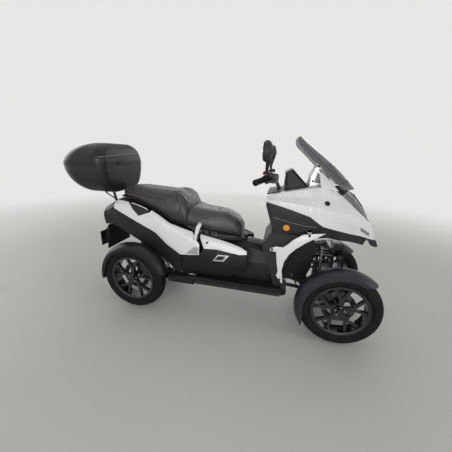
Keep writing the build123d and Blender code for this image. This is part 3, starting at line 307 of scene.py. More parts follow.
BORE = moulded("black_bore", (0.006, 0.006, 0.006), 0.5, 700)
RED_SWITCH = moulded("red_switch", (0.50, 0.012, 0.02), 0.4, 900)

CORNERS = [f"{end}_{{}}_{side}" for end in ("front", "rear") for side in ("left", "right")]
NODE_MATERIALS = {
    WHITE: ["fairing", "wing_brackets", "body_sides", "footrest_left", "footrest_right"],
    CHARCOAL: ["leg_shield", "side_panels", "beak", "dash", "mirrors"],
    BLACK: [
        "floor_pan", "tunnel_cover", "front_keel", "side_pods", "seat_bucket", "seat_pan", "plate_holder",
        "controls", "power_block",
    ],
    SATIN: ["tail_arches"],
    CASE: ["case_base", "case_lid"],
    PAINTED: [
        "frame", "tilt_tower", "tilt_arms", "rear_arms", "handlebar", "rack", "rest_hangers", "steer_crank",
        "knuckle_left", "knuckle_right",
    ],
    STEEL: ["tie_rod_left", "tie_rod_right"],
    ALLOY: ["rear_shocks", "screen_brackets"],
    GUNMETAL: ["tilt_struts"],
    GLASS: ["lamp_panel"],
    AMBER: ["side_lamps"],
    RED: ["tail_lamp"],
    SMOKED: ["windscreen"],
    SEAT: ["rider_seat", "passenger_seat"],
    GUARD: ["front_mudguard_left", "front_mudguard_right"],
    REAR_GUARD: ["rear_mudguard_left", "rear_mudguard_right"],
    WHEEL: [corner.format("rim") for corner in CORNERS],
    TYRE: [corner.format("tyre") for corner in CORNERS],
}


def dress_nodes():
    for material, names in NODE_MATERIALS.items():
        for name in names:
            mesh = nodes[name].data
            mesh.materials.clear()
            mesh.materials.append(material)


# Building blocks for the added pieces


def link_piece(name, mesh, material, body, sharp=40):
    piece = bpy.data.objects.new(name, mesh)
    bpy.context.collection.objects.link(piece)
    mesh.materials.append(material)
    mesh.shade_smooth()
    mesh.set_sharp_from_angle(angle=math.radians(sharp))
    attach(piece, body)
    return piece


def mesh_piece(name, points, faces, material, body):
    mesh = bpy.data.meshes.new(name)
    mesh.from_pydata([tuple(point) for point in points], [], faces)
    shape = bmesh.new()
    shape.from_mesh(mesh)
    bmesh.ops.recalc_face_normals(shape, faces=shape.faces)
    shape.to_mesh(mesh)
    shape.free()
    return link_piece(name, mesh, material, body)


def skin(*names):
    """The joined surface of some nodes, for setting pieces on."""
    points, faces = [], []
    for name in names:
        mesh = nodes[name].data
        start = len(points)
        points += [vertex.co.copy() for vertex in mesh.vertices]
        faces += [[start + i for i in polygon.vertices] for polygon in mesh.polygons]
    return BVHTree.FromPolygons(points, faces)


def touch(surface, start, ray):
    """Where a ray meets a surface, and the outward normal there."""
    place, normal, _, _ = surface.ray_cast(Vector(start), Vector(ray))
    if place is None:
        return None
    return place, normal if normal.dot(Vector(ray)) < 0 else -normal


def spaced(points, step):
    """Points at even steps along a broken line."""
    line = [Vector(point) for point in points]
    result = [line[0]]
    for start, end in zip(line, line[1:]):
        count = max(1, round((end - start).length / step))
        result += [start.lerp(end, i / count) for i in range(1, count + 1)]
    return result


def from_side(surface, points, side, step=0.012):
    """Spots on a surface under a side-view line of (x, z) points."""
    hits = [touch(surface, (p.x, side * CLEAR_SIDE, p.y), (0, -side, 0)) for p in spaced(points, step)]
    return [hit for hit in hits if hit]


def from_above(surface, points, step=0.012):
    """Spots on a surface under a plan line of (x, y) points."""
    hits = [touch(surface, (p.x, p.y, CLEAR_END), (0, 0, -1)) for p in spaced(points, step)]
    return [hit for hit in hits if hit]


def from_ahead(surface, points, step=0.012):
    """Spots on a surface behind a front-view line of (y, z) points."""
    hits = [touch(surface, (CLEAR_END, p.x, p.y), (-1, 0, 0)) for p in spaced(points, step)]
    return [hit for hit in hits if hit]


def from_behind(surface, points, step=0.012):
    """Spots on a surface ahead of the saddle, on a line of (y, z) points."""
    hits = [touch(surface, (REAR_X + 0.9, p.x, p.y), (1, 0, 0)) for p in spaced(points, step)]
    return [hit for hit in hits if hit]


def strip_faces(count, width):
    """Faces of a strip of closed rows, each of a width in points, with its ends closed."""
    faces = [tuple(range(width)), tuple(range((count - 1) * width, count * width))[::-1]]
    for i in range(count - 1):
        for j in range(width):
            a, b = i * width + j, i * width + (j + 1) % width
            faces.append((a, b, b + width, a + width))
    return faces


def ribbon(name, runs, width, height, material, body):
    """Raised strips with chamfered edges along runs of (place, normal) spots."""
    points, faces = [], []
    for spots in runs:
        last = len(spots) - 1
        start = len(points)
        for i, (place, normal) in enumerate(spots):
            run = (spots[min(i + 1, last)][0] - spots[max(i - 1, 0)][0]).normalized()
            across = normal.cross(run).normalized()
            for offset, rise in ((-0.5, -0.4), (-0.36, 1), (0.36, 1), (0.5, -0.4)):
                points.append(place + across * (offset * width) + normal * (rise * height))
        faces += [tuple(start + i for i in face) for face in strip_faces(last + 1, 4)]
    return mesh_piece(name, points, faces, material, body)


SOCKET_HEAD = ((1, -0.2), (1, 0.4), (0.85, 0.62), (0.52, 0.66), (0.46, 0.3))


def heads(name, spots, radius, material, body, profile=SOCKET_HEAD):
    """Turned heads, such as socket screws, on (place, normal) spots."""
    sides = 24
    points, faces = [], []
    for place, normal in spots:
        turn = normal.to_track_quat("Z", "Y").to_matrix()
        start = len(points)
        for share, rise in profile:
            for k in range(sides):
                angle = 2 * math.pi * k / sides
                local = Vector((share * math.cos(angle), share * math.sin(angle), rise)) * radius
                points.append(place + turn @ local)
        rows = strip_faces(len(profile), sides)
        faces += [tuple(start + i for i in face) for face in rows]
    return mesh_piece(name, points, faces, material, body)


def sheet_faces(rows, width):
    """Faces of a sheet of two layers, each of some rows of a width in points, with its rim closed."""
    count = rows * width
    faces = []
    for i in range(rows - 1):
        for j in range(width - 1):
            a = i * width + j
            faces.append((a, a + 1, a + width + 1, a + width))
            faces.append((a + count, a + count + width, a + count + width + 1, a + count + 1))
    rim = list(range(width)) + [i * width + width - 1 for i in range(1, rows)]
    rim += [(rows - 1) * width + j for j in range(width - 2, -1, -1)]
    rim += [i * width for i in range(rows - 2, 0, -1)]
    for a, b in zip(rim, rim[1:] + rim[:1]):
        faces.append((a, b, b + count, a + count))
    return faces


def patch(name, surface, corners, material, body, thick=0.002, grid=(14, 6)):
    """A pair of thin plates that follow the skin inside four side-view corners."""
    points, faces = [], []
    for side in (-1, 1):
        start = len(points)
        spots = []
        for i in range(grid[0] + 1):
            low = Vector(corners[0]).lerp(Vector(corners[3]), i / grid[0])
            high = Vector(corners[1]).lerp(Vector(corners[2]), i / grid[0])
            for j in range(grid[1] + 1):
                p = low.lerp(high, j / grid[1])
                spots.append(touch(surface, (p.x, side * CLEAR_SIDE, p.y), (0, -side, 0)))
        points += [place + normal * thick for place, normal in spots]
        points += [place - normal * 0.001 for place, normal in spots]
        sheet = sheet_faces(grid[0] + 1, grid[1] + 1)
        faces += [tuple(start + i for i in face) for face in sheet]
    return mesh_piece(name, points, faces, material, body)


def plate(name, centre, across, up, size, corner, thick, material, body):
    """A flat plate with rounded corners and a chamfered rim, on a centre with two directions."""
    across, up = Vector(across).normalized(), Vector(up).normalized()
    out = across.cross(up)
    half_w, half_h = size[0] / 2 - corner, size[1] / 2 - corner
    points = []
    rows = ((0, 0), (0, thick * 0.7), (thick * 0.3, thick))
    for inset, rise in rows:
        for quarter, (sx, sy) in enumerate(((1, 1), (-1, 1), (-1, -1), (1, -1))):
            for k in range(7):
                angle = math.pi / 2 * (quarter + k / 6)
                reach = corner - inset
                sideways = across * (sx * half_w + reach * math.cos(angle))
                upwards = up * (sy * half_h + reach * math.sin(angle))
                points.append(Vector(centre) + (sideways + upwards) + out * rise)
    return mesh_piece(name, points, strip_faces(len(rows), 28), material, body)


def coil(name, low, high, radius, wire, turns, material, body):
    """A wound spring between two points."""
    axis = Vector(high) - Vector(low)
    turn = axis.to_track_quat("Z", "Y").to_matrix()
    steps = turns * 24
    sides = 8
    points = []
    for i in range(steps + 1):
        angle = 2 * math.pi * turns * i / steps
        out = turn @ Vector((math.cos(angle), math.sin(angle), 0))
        middle = Vector(low) + axis * (i / steps) + out * radius
        for k in range(sides):
            around = 2 * math.pi * k / sides
            points.append(middle + (out * math.cos(around) + axis.normalized() * math.sin(around)) * wire)
    return mesh_piece(name, points, strip_faces(steps + 1, sides), material, body)


def sleeve(name, path, radii, material, body, sides=20):
    """A round sleeve along a line of points, with a radius at each."""
    line = [Vector(point) for point in path]
    last = len(line) - 1
    points = []
    for i, (place, radius) in enumerate(zip(line, radii)):
        along = line[min(i + 1, last)] - line[max(i - 1, 0)]
        turn = along.to_track_quat("Z", "Y").to_matrix()
        for k in range(sides):
            angle = 2 * math.pi * k / sides
            points.append(place + turn @ Vector((radius * math.cos(angle), radius * math.sin(angle), 0)))
    return mesh_piece(name, points, strip_faces(last + 1, sides), material, body)


def sheet_metal(name, outline, y, thick, material, body):
    """Two upright plates of a side-view outline, one on each side."""
    points, faces = [], []
    count = len(outline)
    for side in (-1, 1):
        start = len(points)
        for reach in (y, y + thick):
            points += [Vector((x, side * reach, z)) for x, z in outline]
        faces.append(tuple(range(start, start + count)))
        faces.append(tuple(range(start + count, start + 2 * count)))
        for i in range(count):
            a, b = start + i, start + (i + 1) % count
            faces.append((a, b, b + count, a + count))
    return mesh_piece(name, points, faces, material, body)


def softened(node, material, body, width=0.0014):
    """A shell that stands for a node, the same form with its edges rounded."""
    shape = bmesh.new()
    shape.from_mesh(nodes[node].data)
    bmesh.ops.remove_doubles(shape, verts=shape.verts, dist=0.00002)
    bmesh.ops.dissolve_limit(shape, angle_limit=math.radians(0.5), verts=shape.verts, edges=shape.edges)
    inner = [edge for edge in shape.edges if len(edge.link_faces) == 2]
    crisp = [edge for edge in inner if edge.calc_face_angle() > math.radians(35)]
    rounding = {"offset": width, "segments": 2, "profile": 0.5, "affect": "EDGES", "clamp_overlap": True}
    bmesh.ops.bevel(shape, geom=crisp, **rounding)
    bmesh.ops.recalc_face_normals(shape, faces=shape.faces)
    mesh = bpy.data.meshes.new(f"{node}_shell")
    shape.to_mesh(mesh)
    shape.free()
    piece = link_piece(f"{node}_shell", mesh, material, body, 28)
    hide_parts(node)
    return piece


def by_face(node, materials, choose):
    """Gives each face of a node one of some materials."""
    mesh = nodes[node].data
    mesh.materials.clear()
    for material in materials:
        mesh.materials.append(material)
    for polygon in mesh.polygons:
        polygon.material_index = choose(polygon)


def front(points):
    """Side-view points given in millimetres from the front axle."""
    return [(FRONT_X + x / 1000, z / 1000) for x, z in points]


def rear(points):
    """Side-view points given in millimetres from the rear axle."""
    return [(REAR_X + x / 1000, z / 1000) for x, z in points]


# Wheels


def arc(a, b, c, count):
    """Points on the circle through three section points, from the first to the last."""
    (ax, ay), (bx, by), (cx, cy) = a, b, c
    d = 2 * (ax * (by - cy) + bx * (cy - ay) + cx * (ay - by))
    sa, sb, sc = ax * ax + ay * ay, bx * bx + by * by, cx * cx + cy * cy
    ux = (sa * (by - cy) + sb * (cy - ay) + sc * (ay - by)) / d
    uy = (sa * (cx - bx) + sb * (ax - cx) + sc * (bx - ax)) / d
    radius = math.hypot(ax - ux, ay - uy)
    start, middle, end = (math.atan2(y - uy, x - ux) for x, y in (a, b, c))
    sweep = (end - start) % (2 * math.pi)
    if (middle - start) % (2 * math.pi) > sweep:
        sweep -= 2 * math.pi
    angles = [start + sweep * i / count for i in range(count + 1)]
    return [(ux + radius * math.cos(angle), uy + radius * math.sin(angle)) for angle in angles]


def tyre_section():
    """The tyre's section as (width, radius) points, and the number of its first tread face."""
    half, shoulder_r, side_r, lip_r, bead = 0.055, TYRE_R - 0.016, TYRE_R - 0.044, 0.189, 0.0375
    shoulder = half * 0.8
    flank_steps = 7
    flank = arc((bead, lip_r), (half, side_r), (shoulder, shoulder_r), flank_steps)
    crown = arc((shoulder, shoulder_r), (0, TYRE_R), (-shoulder, shoulder_r), TREAD_COLUMNS)
    other = [(-y, r) for y, r in reversed(flank)]
    return flank[:-1] + crown + other[1:] + [(-bead, 0.1765), (bead, 0.1765)], flank_steps


def groove(column, segment):
    """Whether a tread face lies in a groove."""
    off = abs(column - (TREAD_COLUMNS - 1) / 2)
    if off in (2.5, 5.5):
        return True
    return off > 2.5 and (segment + round(off)) % 9 == 0


def add_tyre(end, x, side, name):
    section, first = tyre_section()
    segments = 180
    width = len(section)
    shape = bmesh.new()
    rings = []
    for s in range(segments):
        angle = 2 * math.pi * s / segments
        ring = []
        for y, r in section:
            place = (x + r * math.cos(angle), side * (WHEEL_Y + y), AXLE_Z + r * math.sin(angle))
            ring.append(shape.verts.new(place))
        rings.append(ring)
    sunk = []
    for s in range(segments):
        here, after = rings[s], rings[(s + 1) % segments]
        for j in range(width):
            face = shape.faces.new((here[j], here[(j + 1) % width], after[(j + 1) % width], after[j]))
            if first <= j < first + TREAD_COLUMNS and groove(j - first, s):
                sunk.append(face)
    centre = Vector((x, 0, AXLE_Z))
    walls = bmesh.ops.extrude_face_region(shape, geom=sunk)
    for vertex in [item for item in walls["geom"] if isinstance(item, bmesh.types.BMVert)]:
        inward = centre - vertex.co
        inward.y = 0
        vertex.co += inward.normalized() * GROOVE_DEPTH
    bmesh.ops.delete(shape, geom=sunk, context="FACES_ONLY")
    bmesh.ops.recalc_face_normals(shape, faces=shape.faces)
    mesh = bpy.data.meshes.new(f"{end}_tread_{name}")
    shape.to_mesh(mesh)
    shape.free()
    tyre = link_piece(f"{end}_tread_{name}", mesh, TYRE, f"{end}_{name}_wheel", 30)
    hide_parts(f"{end}_tyre_{name}")


def ring_spots(x, y, side, radius, count, start=0.0):
    """Spots round an axle on a face that looks outwards."""
    spots = []
    for k in range(count):
        angle = start + 2 * math.pi * k / count
        place = Vector((x + radius * math.cos(angle), side * y, AXLE_Z + radius * math.sin(angle)))
        spots.append((place, Vector((0, side, 0))))
    return spots


def add_wheel_details(end, x, side, name):
    body = f"{end}_{name}_wheel"
    disc_y = WHEEL_Y - 0.020

    def disc_face(polygon):
        centre = polygon.center
        radius = math.hypot(centre.x - x, centre.z - AXLE_Z)
        return int(abs(abs(centre.y) - disc_y) < 0.0035 and 0.076 < radius < 0.1155)
    by_face(f"{end}_rim_{name}", [WHEEL, DISC], disc_face)
    heads(f"{end}_hub_bolts_{name}", ring_spots(x, WHEEL_Y + 0.040, side, 0.030, 5, 0.3), 0.0055, STEEL, body)
    drilled = []
    for row, radius in enumerate((0.086, 0.096, 0.106)):
        drilled += ring_spots(x, disc_y + 0.002, side, radius, 20, row * 0.12)
    heads(f"{end}_disc_holes_{name}", drilled, 0.0030, BORE, body, ((1, -0.1), (1, 0.08), (0.9, 0.1)))
    rim_edge = ring_spots(x, WHEEL_Y + 0.0435, side, 0.187, 96)
    rim_edge.append(rim_edge[0])
    ribbon(f"{end}_rim_edge_{name}", [rim_edge], 0.004, 0.0015, WHEEL, body)


# Bodywork details


def add_side_ribs():
    surface = skin("side_panels")
    runs, lines = [], []
    for side, _ in SIDES:
        for k in range(8):
            share = k / 7
            start = (-530 + 36 * share, 928 - 66 * share)
            end = (-396 + 120 * share, 898 - 66 * share)
            runs.append(from_side(surface, front([start, end]), side))
        lines.append(from_side(surface, front([(-490, 849), (-419, 838), (-287, 816), (-215, 814)]), side))
    ribbon("side_panel_ribs", runs, 0.0045, 0.0022, RIB, "chassis")
    ribbon("side_panel_line", lines, 0.0022, 0.0012, PALE_LINE, "chassis")


def add_body_screws():
    brackets = skin("wing_brackets")
    sides = skin("body_sides", "side_pods", "rest_hangers")
    arches = skin("tail_arches")
    spots, small = [], []
    for side, _ in SIDES:
        for point in front([(-480, 624), (-246, 748), (-411, 396)]):
            spots += from_side(brackets, [point], side)
        spots += from_side(sides, rear([(608, 618)]), side)
        for point in rear([(-270, 740), (60, 640), (250, 520), (-150, 700)]):
            small += from_side(arches, [point], side)
    heads("bracket_screws", spots, 0.0085, BORE, "chassis")
    heads("panel_screws", small, 0.006, PAINTED, "chassis")


def add_body_trim():
    pods = skin("side_pods")
    sides = skin("body_sides")
    shell = skin("fairing")
    patch("pod_inserts", pods, rear([(654, 484), (694, 538), (780, 540), (738, 488)]), ALLOY, "chassis")
    inner = rear([(672, 498), (700, 530), (756, 531), (728, 500)])
    patch("pod_insert_slots", pods, inner, CHARCOAL, "chassis", 0.0032, (10, 4))
    facet = rear([(440, 514), (506, 574), (541, 574), (538, 520)])
    patch("side_facets", sides, facet, GREY, "chassis", 0.0015)
    step_line = rear([(552, 496), (572, 452), (612, 424), (700, 428), (800, 456), (846, 500), (856, 540)])
    steps, seams = [], []
    for side, _ in SIDES:
        steps.append(from_side(pods, step_line, side))
        seams.append(from_side(shell, front([(-113, 856), (0, 825), (87, 797)]), side))
        seams.append(from_side(sides, rear([(150, 795), (290, 715), (480, 672)]), side))
    ribbon("pod_steps", steps, 0.006, 0.0025, SATIN, "chassis")
    ribbon("panel_seams", seams, 0.0018, 0.0006, PALE_LINE, "chassis")
    vents = [from_side(shell, front([(-165, 966)]), side)[0] for side, _ in SIDES]
    dished = ((1, -0.3), (1, 0.25), (0.8, 0.5), (0.6, 0.45), (0.5, 0.15))
    heads("side_vents", vents, 0.017, SATIN, "chassis", dished)


def add_lamps():
    by_face("side_lamps", [AMBER, GREY_LENS], lambda polygon: int(polygon.center.x > FRONT_X))
    surface = skin("lamp_panel")
    guides, edges = [], []
    for side, _ in SIDES:
        guide = [(0.020, 0.99), (0.060, 0.965), (0.048, 0.90), (0.028, 0.862)]
        guides.append(from_ahead(surface, [(side * y, z) for y, z in guide]))
        edges.append(from_ahead(surface, [(side * 0.012, 0.86), (side * 0.012, 1.02)]))
    ribbon("light_guides", guides, 0.007, 0.0012, GREY_LENS, "chassis")
    ribbon("lamp_centre_lines", edges, 0.004, 0.001, SATIN, "chassis")
    lamps = []
    for y, z in ((0.034, 0.94), (-0.034, 0.94), (0.03, 0.895), (-0.03, 0.895)):
        lamps += from_ahead(surface, [(y, z)])
    profile = ((1, -0.2), (1, 0.1), (0.9, 0.2), (0.8, 0.12), (0.55, 0.32), (0.2, 0.42))
    heads("lamp_lenses", lamps, 0.013, GREY_LENS, "chassis", profile)
    glow = [(REAR_X - 0.318, z) for z in (0.727, 0.740, 0.753)]
    runs = [[(Vector((x, y / 1000, z)), Vector((-1, 0, 0))) for y in range(-104, 105, 8)] for x, z in glow]
    ribbon("tail_lamp_bars", runs, 0.007, 0.0016, RED, "chassis")


def add_screen_trim():
    surface = skin("windscreen")
    left = [(-0.150, 1.075), (-0.168, 1.18), (-0.166, 1.28), (-0.128, 1.345), (-0.055, 1.362)]
    border = left + [(-y, z) for y, z in reversed(left)]
    ribbon("screen_border", [from_ahead(surface, border)], 0.007, 0.0010, SMOKE_EDGE, "chassis")
    insert = [(-0.118, 1.062), (-0.140, 1.15), (-0.110, 1.19), (0.110, 1.19), (0.140, 1.15), (0.118, 1.062)]
    ribbon("screen_insert", [from_ahead(surface, insert)], 0.012, 0.0014, SMOKE_EDGE, "chassis")
    screws = []
    for y, z in ((-0.09, 1.10), (0.09, 1.10), (-0.12, 1.20), (0.12, 1.20)):
        screws += from_ahead(surface, [(y, z)])
    heads("screen_screws", screws, 0.007, BORE, "chassis")
    plates = skin("screen_brackets")
    holes = []
    for side, _ in SIDES:
        for point in front([(-255, 1090), (-232, 1188), (-120, 1150)]):
            holes += from_side(plates, [point], side)
    heads("screen_bracket_bolts", holes, 0.007, BORE, "chassis")


def add_cockpit():
    bezel = Vector((FRONT_X - 0.4345, 0, 1.078))
    glass = bezel - Vector((0.0038, 0, 0))
    across, up = (0, -1, 0), (0.06, 0, 1)
    plate("display_bezel", bezel, across, up, (0.178, 0.098), 0.016, 0.004, SATIN, "chassis")
    plate("display_glass", glass, across, up, (0.152, 0.076), 0.010, 0.002, GLASS, "chassis")
    shield = skin("leg_shield")
    lids = []
    for y in (-0.092, 0.092):
        box = [(y - 0.07, 0.80), (y - 0.07, 0.95), (y + 0.07, 0.95), (y + 0.07, 0.80), (y - 0.07, 0.80)]
        lids.append(from_behind(shield, box))
    ribbon("glove_box_lines", lids, 0.003, 0.0012, SATIN, "chassis")
    locks = []
    for y in (-0.092, 0.092):
        locks += from_behind(shield, [(y, 0.93)])
    heads("glove_box_locks", locks, 0.011, STEEL, "chassis")


def add_liners():
    """Dark sheets that close the view behind the white brackets and under the seat's tail."""
    outline = front([
        (-314, 312), (-314, 640), (-350, 628), (-380, 590), (-406, 530), (-420, 470), (-424, 420),
        (-414, 348), (-404, 312),
    ])
    sheet_metal("splash_liners", outline, 0.048, 0.003, BLACK, "chassis")
    sides = skin("body_sides", "tail_arches")
    points = []
    rows, width = 13, 9
    for level in (0.0, 0.004):
        for i in range(rows):
            x = REAR_X - 0.206 + 0.016 * i
            z = 0.866 - 0.10 * max(0, x - REAR_X + 0.10)
            hit = touch(sides, (x, 0, z), (0, 1, 0))
            half = hit[0].y - 0.002 if hit else 0.15
            for j in range(width):
                share = 2 * j / (width - 1) - 1
                points.append(Vector((x, half * share, z - level + 0.006 * (1 - share * share))))
    mesh_piece("tail_deck", points, sheet_faces(rows, width), BLACK, "chassis")


def top_edge(surface, x, side):
    """The highest spot of a panel at one place along the body."""
    for step in range(60):
        hit = touch(surface, (x, side * CLEAR_SIDE, 0.920 - 0.003 * step), (0, -side, 0))
        if hit and abs(hit[0].y) > 0.15:
            return hit
    return None


def add_scoop_lips():
    surface = skin("tail_arches")
    runs = []
    for side, _ in SIDES:
        spots = [top_edge(surface, REAR_X - 0.050 + 0.010 * k, side) for k in range(16)]
        runs.append([spot for spot in spots if spot])
    ribbon("scoop_lips", runs, 0.007, 0.0020, WHITE, "chassis")


def grip_point(share, side):
    """A point on a grip's axis, by its share of the way from the inner end to the outer one."""
    start = Vector((FRONT_X - 0.537, 0.190, 1.110))
    end = Vector((FRONT_X - 0.606, 0.372, 1.093))
    place = start.lerp(end, share)
    return Vector((place.x, side * place.y, place.z))


def add_grip(side, name):
    """A ribbed grip with a bar end."""
    rows = []
    for k in range(14):
        base = 0.42 + 0.042 * k
        rows += [(base, 0.0168), (base + 0.008, 0.0186), (base + 0.024, 0.0186), (base + 0.032, 0.0168)]
    rows += [(1.012, 0.0168), (1.014, 0.0196), (1.05, 0.0196), (1.07, 0.014)]
    path = [grip_point(share, side) for share, _ in rows]
    sleeve(f"grip_{name}", path, [radius for _, radius in rows], TYRE, "steering", 24)


def add_switches(side, name):
    flat = ((0, 1, 0), (-1, 0, 0))
    facing_back = ((0, -1, 0), (0, 0, 1))
    top = grip_point(0.30, side) + Vector((-0.004, 0, 0.0225))
    plate(f"switch_{name}", top, *flat, (0.018, 0.016), 0.004, 0.009, RED_SWITCH, "steering")
    back = grip_point(0.27, side) + Vector((-0.022, 0, 0.004))
    plate(f"switch_pad_{name}", back, *facing_back, (0.022, 0.020), 0.004, 0.006, SATIN, "steering")
    tank = grip_point(0.12, side) + Vector((0.012, 0, 0.011))
    plate(f"fluid_tank_{name}", tank, *flat, (0.042, 0.034), 0.008, 0.022, SATIN, "steering")
    lid = tank + Vector((0, 0, 0.022))
    plate(f"fluid_lid_{name}", lid, *flat, (0.044, 0.036), 0.008, 0.004, PAINTED, "steering")


def mirror_glass(name, centre):
    points = []
    rows = ((1.0, 0.0), (1.0, 0.0012), (0.96, 0.0018))
    for share, rise in rows:
        for k in range(48):
            angle = 2 * math.pi * k / 48
            oval = Vector((-rise, share * 0.039 * math.cos(angle), share * 0.041 * math.sin(angle)))
            points.append(centre + oval)
    mesh_piece(name, points, strip_faces(len(rows), 48), MIRROR, "steering")


def add_mirror(side, name):
    glass = Vector((FRONT_X - 0.549 - 0.0302, side * 0.345, 1.271))
    mirror_glass(f"mirror_glass_{name}", glass)
    foot = grip_point(0.28, side)
    elbow = foot + Vector((0, side * 0.010, 0.060))
    head = Vector((FRONT_X - 0.545, side * 0.325, 1.231))
    path = [foot + Vector((0.004, 0, 0.024)), elbow, elbow.lerp(head, 0.5), head]
    sleeve(f"mirror_neck_{name}", path, (0.0095, 0.0105, 0.0125, 0.0165), CHARCOAL, "steering")


def add_handlebar_details():
    for side, name in SIDES:
        add_grip(side, name)
        add_switches(side, name)
        add_mirror(side, name)


def belt(surface, z, centre_x):
    """Spots all round a hollow shell at one height, struck from outside towards its middle."""
    spots = []
    for k in range(121):
        angle = 2 * math.pi * k / 120
        out = Vector((math.cos(angle), math.sin(angle), 0))
        hit = touch(surface, Vector((centre_x, 0, z)) + out * 0.6, -out)
        if hit:
            spots.append(hit)
    return spots


def add_case_trim():
    middle = REAR_X - 0.42
    lid, base = skin("case_lid"), skin("case_base")
    # The pale line along the lid's front crease is a painted highlight on the crease, not a coloured trim.
    crease = from_ahead(lid, [(-0.262, 1.206), (0.0, 1.224), (0.20, 1.236)])
    ribbon("lid_crease_highlight", [crease], 0.0028, 0.0010, PALE_LINE, "lid")
    ribbon("lid_rim", [belt(lid, 1.164, middle)], 0.012, 0.0024, BLACK, "lid")
    ribbon("base_crease", [belt(base, 1.082, middle)], 0.005, 0.0022, CASE, "chassis")
    ribbon("base_rim", [belt(base, 1.143, middle)], 0.012, 0.0020, BLACK, "chassis")
    latch = touch(base, (-CLEAR_END, 0, 1.118), (1, 0, 0))[0] + Vector((0.001, 0, 0))
    plate("case_latch", latch, (0, -1, 0), (0, 0, 1), (0.090, 0.034), 0.010, 0.006, SATIN, "chassis")
    heads("case_lock", [(latch + Vector((-0.006, 0, 0)), Vector((-1, 0, 0)))], 0.009, STEEL, "chassis")


def add_springs():
    for side, name in SIDES:
        low = Vector((REAR_X + 0.290, side * 0.172, AXLE_Z + 0.056))
        high = Vector((REAR_X + 0.160, side * 0.172, AXLE_Z + 0.280))
        line = (high - low).normalized()
        foot, head = low + line * 0.040, high - line * 0.030
        coil(f"rear_spring_{name}", foot, head, 0.0245, 0.0035, 8, ALLOY, "chassis")


def add_floor_mats():
    runs = []
    up = Vector((0, 0, 1))
    for side, _ in SIDES:
        for k in range(6):
            y = side * (0.156 + 0.015 * k)
            line = spaced([(REAR_X + 0.54, y, 0.318), (FRONT_X - 0.50, y, 0.318)], 0.03)
            runs.append([(place, up) for place in line])
    ribbon("floor_ribs", runs, 0.008, 0.0035, TYRE, "chassis")
    cover = skin("tunnel_cover")
    places = (-0.045, -0.015, 0.015, 0.045)
    lines = [from_above(cover, [(REAR_X + 0.90, y), (FRONT_X - 0.575, y)]) for y in places]
    ribbon("tunnel_ribs", lines, 0.010, 0.003, SATIN, "chassis")


# Seat


def swell(piece, cap):
    """Puffs a closed mesh up as a stuffed cover; points move by a cap at most."""
    scene = bpy.context.scene
    start = [vertex.co.copy() for vertex in piece.data.vertices]
    cloth = piece.modifiers.new("cloth", "CLOTH")
    settings = cloth.settings
    settings.use_pressure = True
    settings.uniform_pressure_force = 4
    settings.tension_stiffness = 20
    settings.compression_stiffness = 20
    settings.effector_weights.gravity = 0
    settings.vertex_group_mass = "pin"
    frames = 20
    cloth.point_cache.frame_end = frames
    for frame_number in range(1, frames + 1):
        scene.frame_set(frame_number)
    puffed = piece.evaluated_get(bpy.context.evaluated_depsgraph_get()).data
    ends = [vertex.co.copy() for vertex in puffed.vertices]
    piece.modifiers.clear()
    scene.frame_set(1)
    for vertex, old, new in zip(piece.data.vertices, start, ends):
        move = new - old
        vertex.co = old + move * min(1, cap / max(move.length, 1e-9))


def baked(piece):
    """Replaces a piece's mesh with what its modifiers make of it."""
    result = bpy.data.meshes.new_from_object(piece.evaluated_get(bpy.context.evaluated_depsgraph_get()))
    piece.modifiers.clear()
    piece.data = result


def sewn(piece, runs, depth, width):
    """Draws a cover in along runs of spots."""
    spots = [place for run in runs for place, _ in run]
    tree = KDTree(len(spots))
    for i, place in enumerate(spots):
        tree.insert(place, i)
    tree.balance()
    normals = [vertex.normal.copy() for vertex in piece.data.vertices]
    for vertex, normal in zip(piece.data.vertices, normals):
        _, _, distance = tree.find(vertex.co)
        vertex.co -= normal * depth * math.exp(-((distance / width) ** 2))


def cushion(name, node):
    """A stuffed cover grown from a node's solid."""
    piece = bpy.data.objects.new(name, nodes[node].data.copy())
    bpy.context.collection.objects.link(piece)
    remesh = piece.modifiers.new("remesh", "REMESH")
    remesh.mode = "VOXEL"
    remesh.voxel_size = 0.006
    smooth = piece.modifiers.new("smooth", "SMOOTH")
    smooth.factor = 0.5
    smooth.iterations = 14
    baked(piece)
    foot = piece.vertex_groups.new(name="pin")
    low = [vertex.index for vertex in piece.data.vertices if vertex.normal.z < -0.5]
    foot.add(low, 1.0, "REPLACE")
    swell(piece, 0.007)
    return piece


def surface_of(piece):
    mesh = piece.data
    points = [vertex.co.copy() for vertex in mesh.vertices]
    return BVHTree.FromPolygons(points, [list(polygon.vertices) for polygon in mesh.polygons])


def finish_cushion(piece, node, materials, choose):
    mesh = piece.data
    mesh.materials.clear()
    for material in materials:
        mesh.materials.append(material)
    for polygon in mesh.polygons:
        polygon.material_index = choose(polygon.center, polygon.normal)
    mesh.shade_smooth()
    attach(piece, "seat")
    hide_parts(node)


EAR = [(222, 902), (280, 792), (362, 797), (374, 862), (332, 930), (262, 922)]
FLANK = [
    (508, 768), (600, 797), (700, 800), (770, 768), (815, 720), (826, 664), (700, 697), (560, 724),
    (500, 734),
]


def inside(outline, x, z):
    """Whether a side-view point lies inside an outline."""
    result = False
    for (ax, az), (bx, bz) in zip(outline, outline[1:] + outline[:1]):
        if (az > z) != (bz > z) and x < ax + (z - az) * (bx - ax) / (bz - az):
            result = not result
    return result


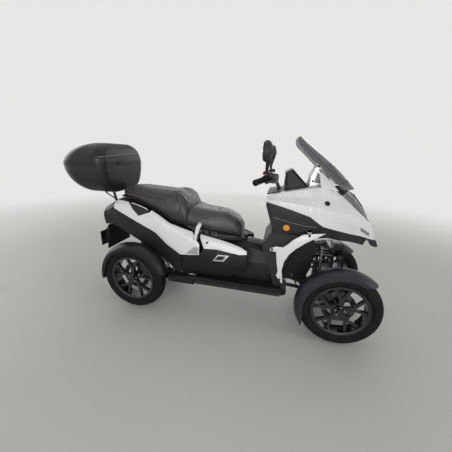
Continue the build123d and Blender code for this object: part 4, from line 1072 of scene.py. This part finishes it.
def add_seat():
    rider = cushion("rider_cushion", "rider_seat")
    passenger = cushion("passenger_cushion", "passenger_seat")
    nose, back = surface_of(rider), surface_of(passenger)
    nose_runs, back_runs = [], []
    for side, _ in SIDES:
        nose_runs.append(from_side(nose, rear(FLANK + FLANK[:1]), side, 0.005))
        back_runs.append(from_side(back, rear(EAR + EAR[:1]), side, 0.005))
        back_runs.append(from_side(back, rear([(-140, 938), (0, 930), (120, 914), (222, 902)]), side, 0.005))
    back_runs.append(from_above(back, [(REAR_X + 0.235, -0.12), (REAR_X + 0.235, 0.12)], 0.005))
    chevron = [(REAR_X + 0.66, -0.10), (REAR_X + 0.64, 0), (REAR_X + 0.66, 0.10)]
    nose_runs.append(from_above(nose, chevron, 0.005))
    sewn(rider, nose_runs, 0.004, 0.007)
    sewn(passenger, back_runs, 0.004, 0.007)

    def part_of(outline):
        def choose(centre, normal):
            x, z = (centre.x - REAR_X) * 1000, centre.z * 1000
            return int(abs(normal.y) > 0.25 and inside(outline, x, z))
        return choose
    finish_cushion(rider, "rider_seat", [SEAT, SEAT_SIDE], part_of(FLANK))
    finish_cushion(passenger, "passenger_seat", [SEAT, SEAT_EAR], part_of(EAR))
    piping = []
    for runs, piece in ((nose_runs, rider), (back_runs, passenger)):
        surface = surface_of(piece)
        for run in runs:
            piping.append([surface.find_nearest(place)[:2] for place, _ in run])
    ribbon("seat_piping", piping, 0.0035, 0.0012, SEAM, "seat")


add_camera()
add_floor()
add_world()
add_area_light("key", (0.3, -4.4, 1.7), (0.1, 0, 0.6), (4.4, 2.4), 90)
add_area_light("far_side", (0.0, 4.6, 2.0), (0.1, 0, 0.6), (4.4, 2.4), 52)
add_area_light("top", (0.2, 0.4, 4.4), (0.1, 0, 0.5), (4.0, 3.0), 16)
add_area_light("nose", (4.4, -1.2, 1.9), (0.6, 0, 0.6), (2.4, 2.0), 22)
add_area_light("tail", (-4.4, 0.6, 2.0), (-0.6, 0, 0.7), (2.4, 2.0), 22)
dress_nodes()
for end, x in ENDS:
    for side, name in SIDES:
        add_tyre(end, x, side, name)
        add_wheel_details(end, x, side, name)
for node in ("fairing", "body_sides", "wing_brackets"):
    softened(node, WHITE, "chassis")
for side, name in SIDES:
    softened(f"footrest_{name}", WHITE, f"rest_{name}")
softened("side_panels", CHARCOAL, "chassis")
softened("tail_arches", SATIN, "chassis")
softened("side_pods", BLACK, "chassis")
add_side_ribs()
add_body_screws()
add_body_trim()
add_lamps()
add_screen_trim()
add_cockpit()
add_liners()
add_scoop_lips()
add_handlebar_details()
add_case_trim()
add_springs()
add_floor_mats()
add_seat()

bpy.context.scene.view_settings.view_transform = "Standard"
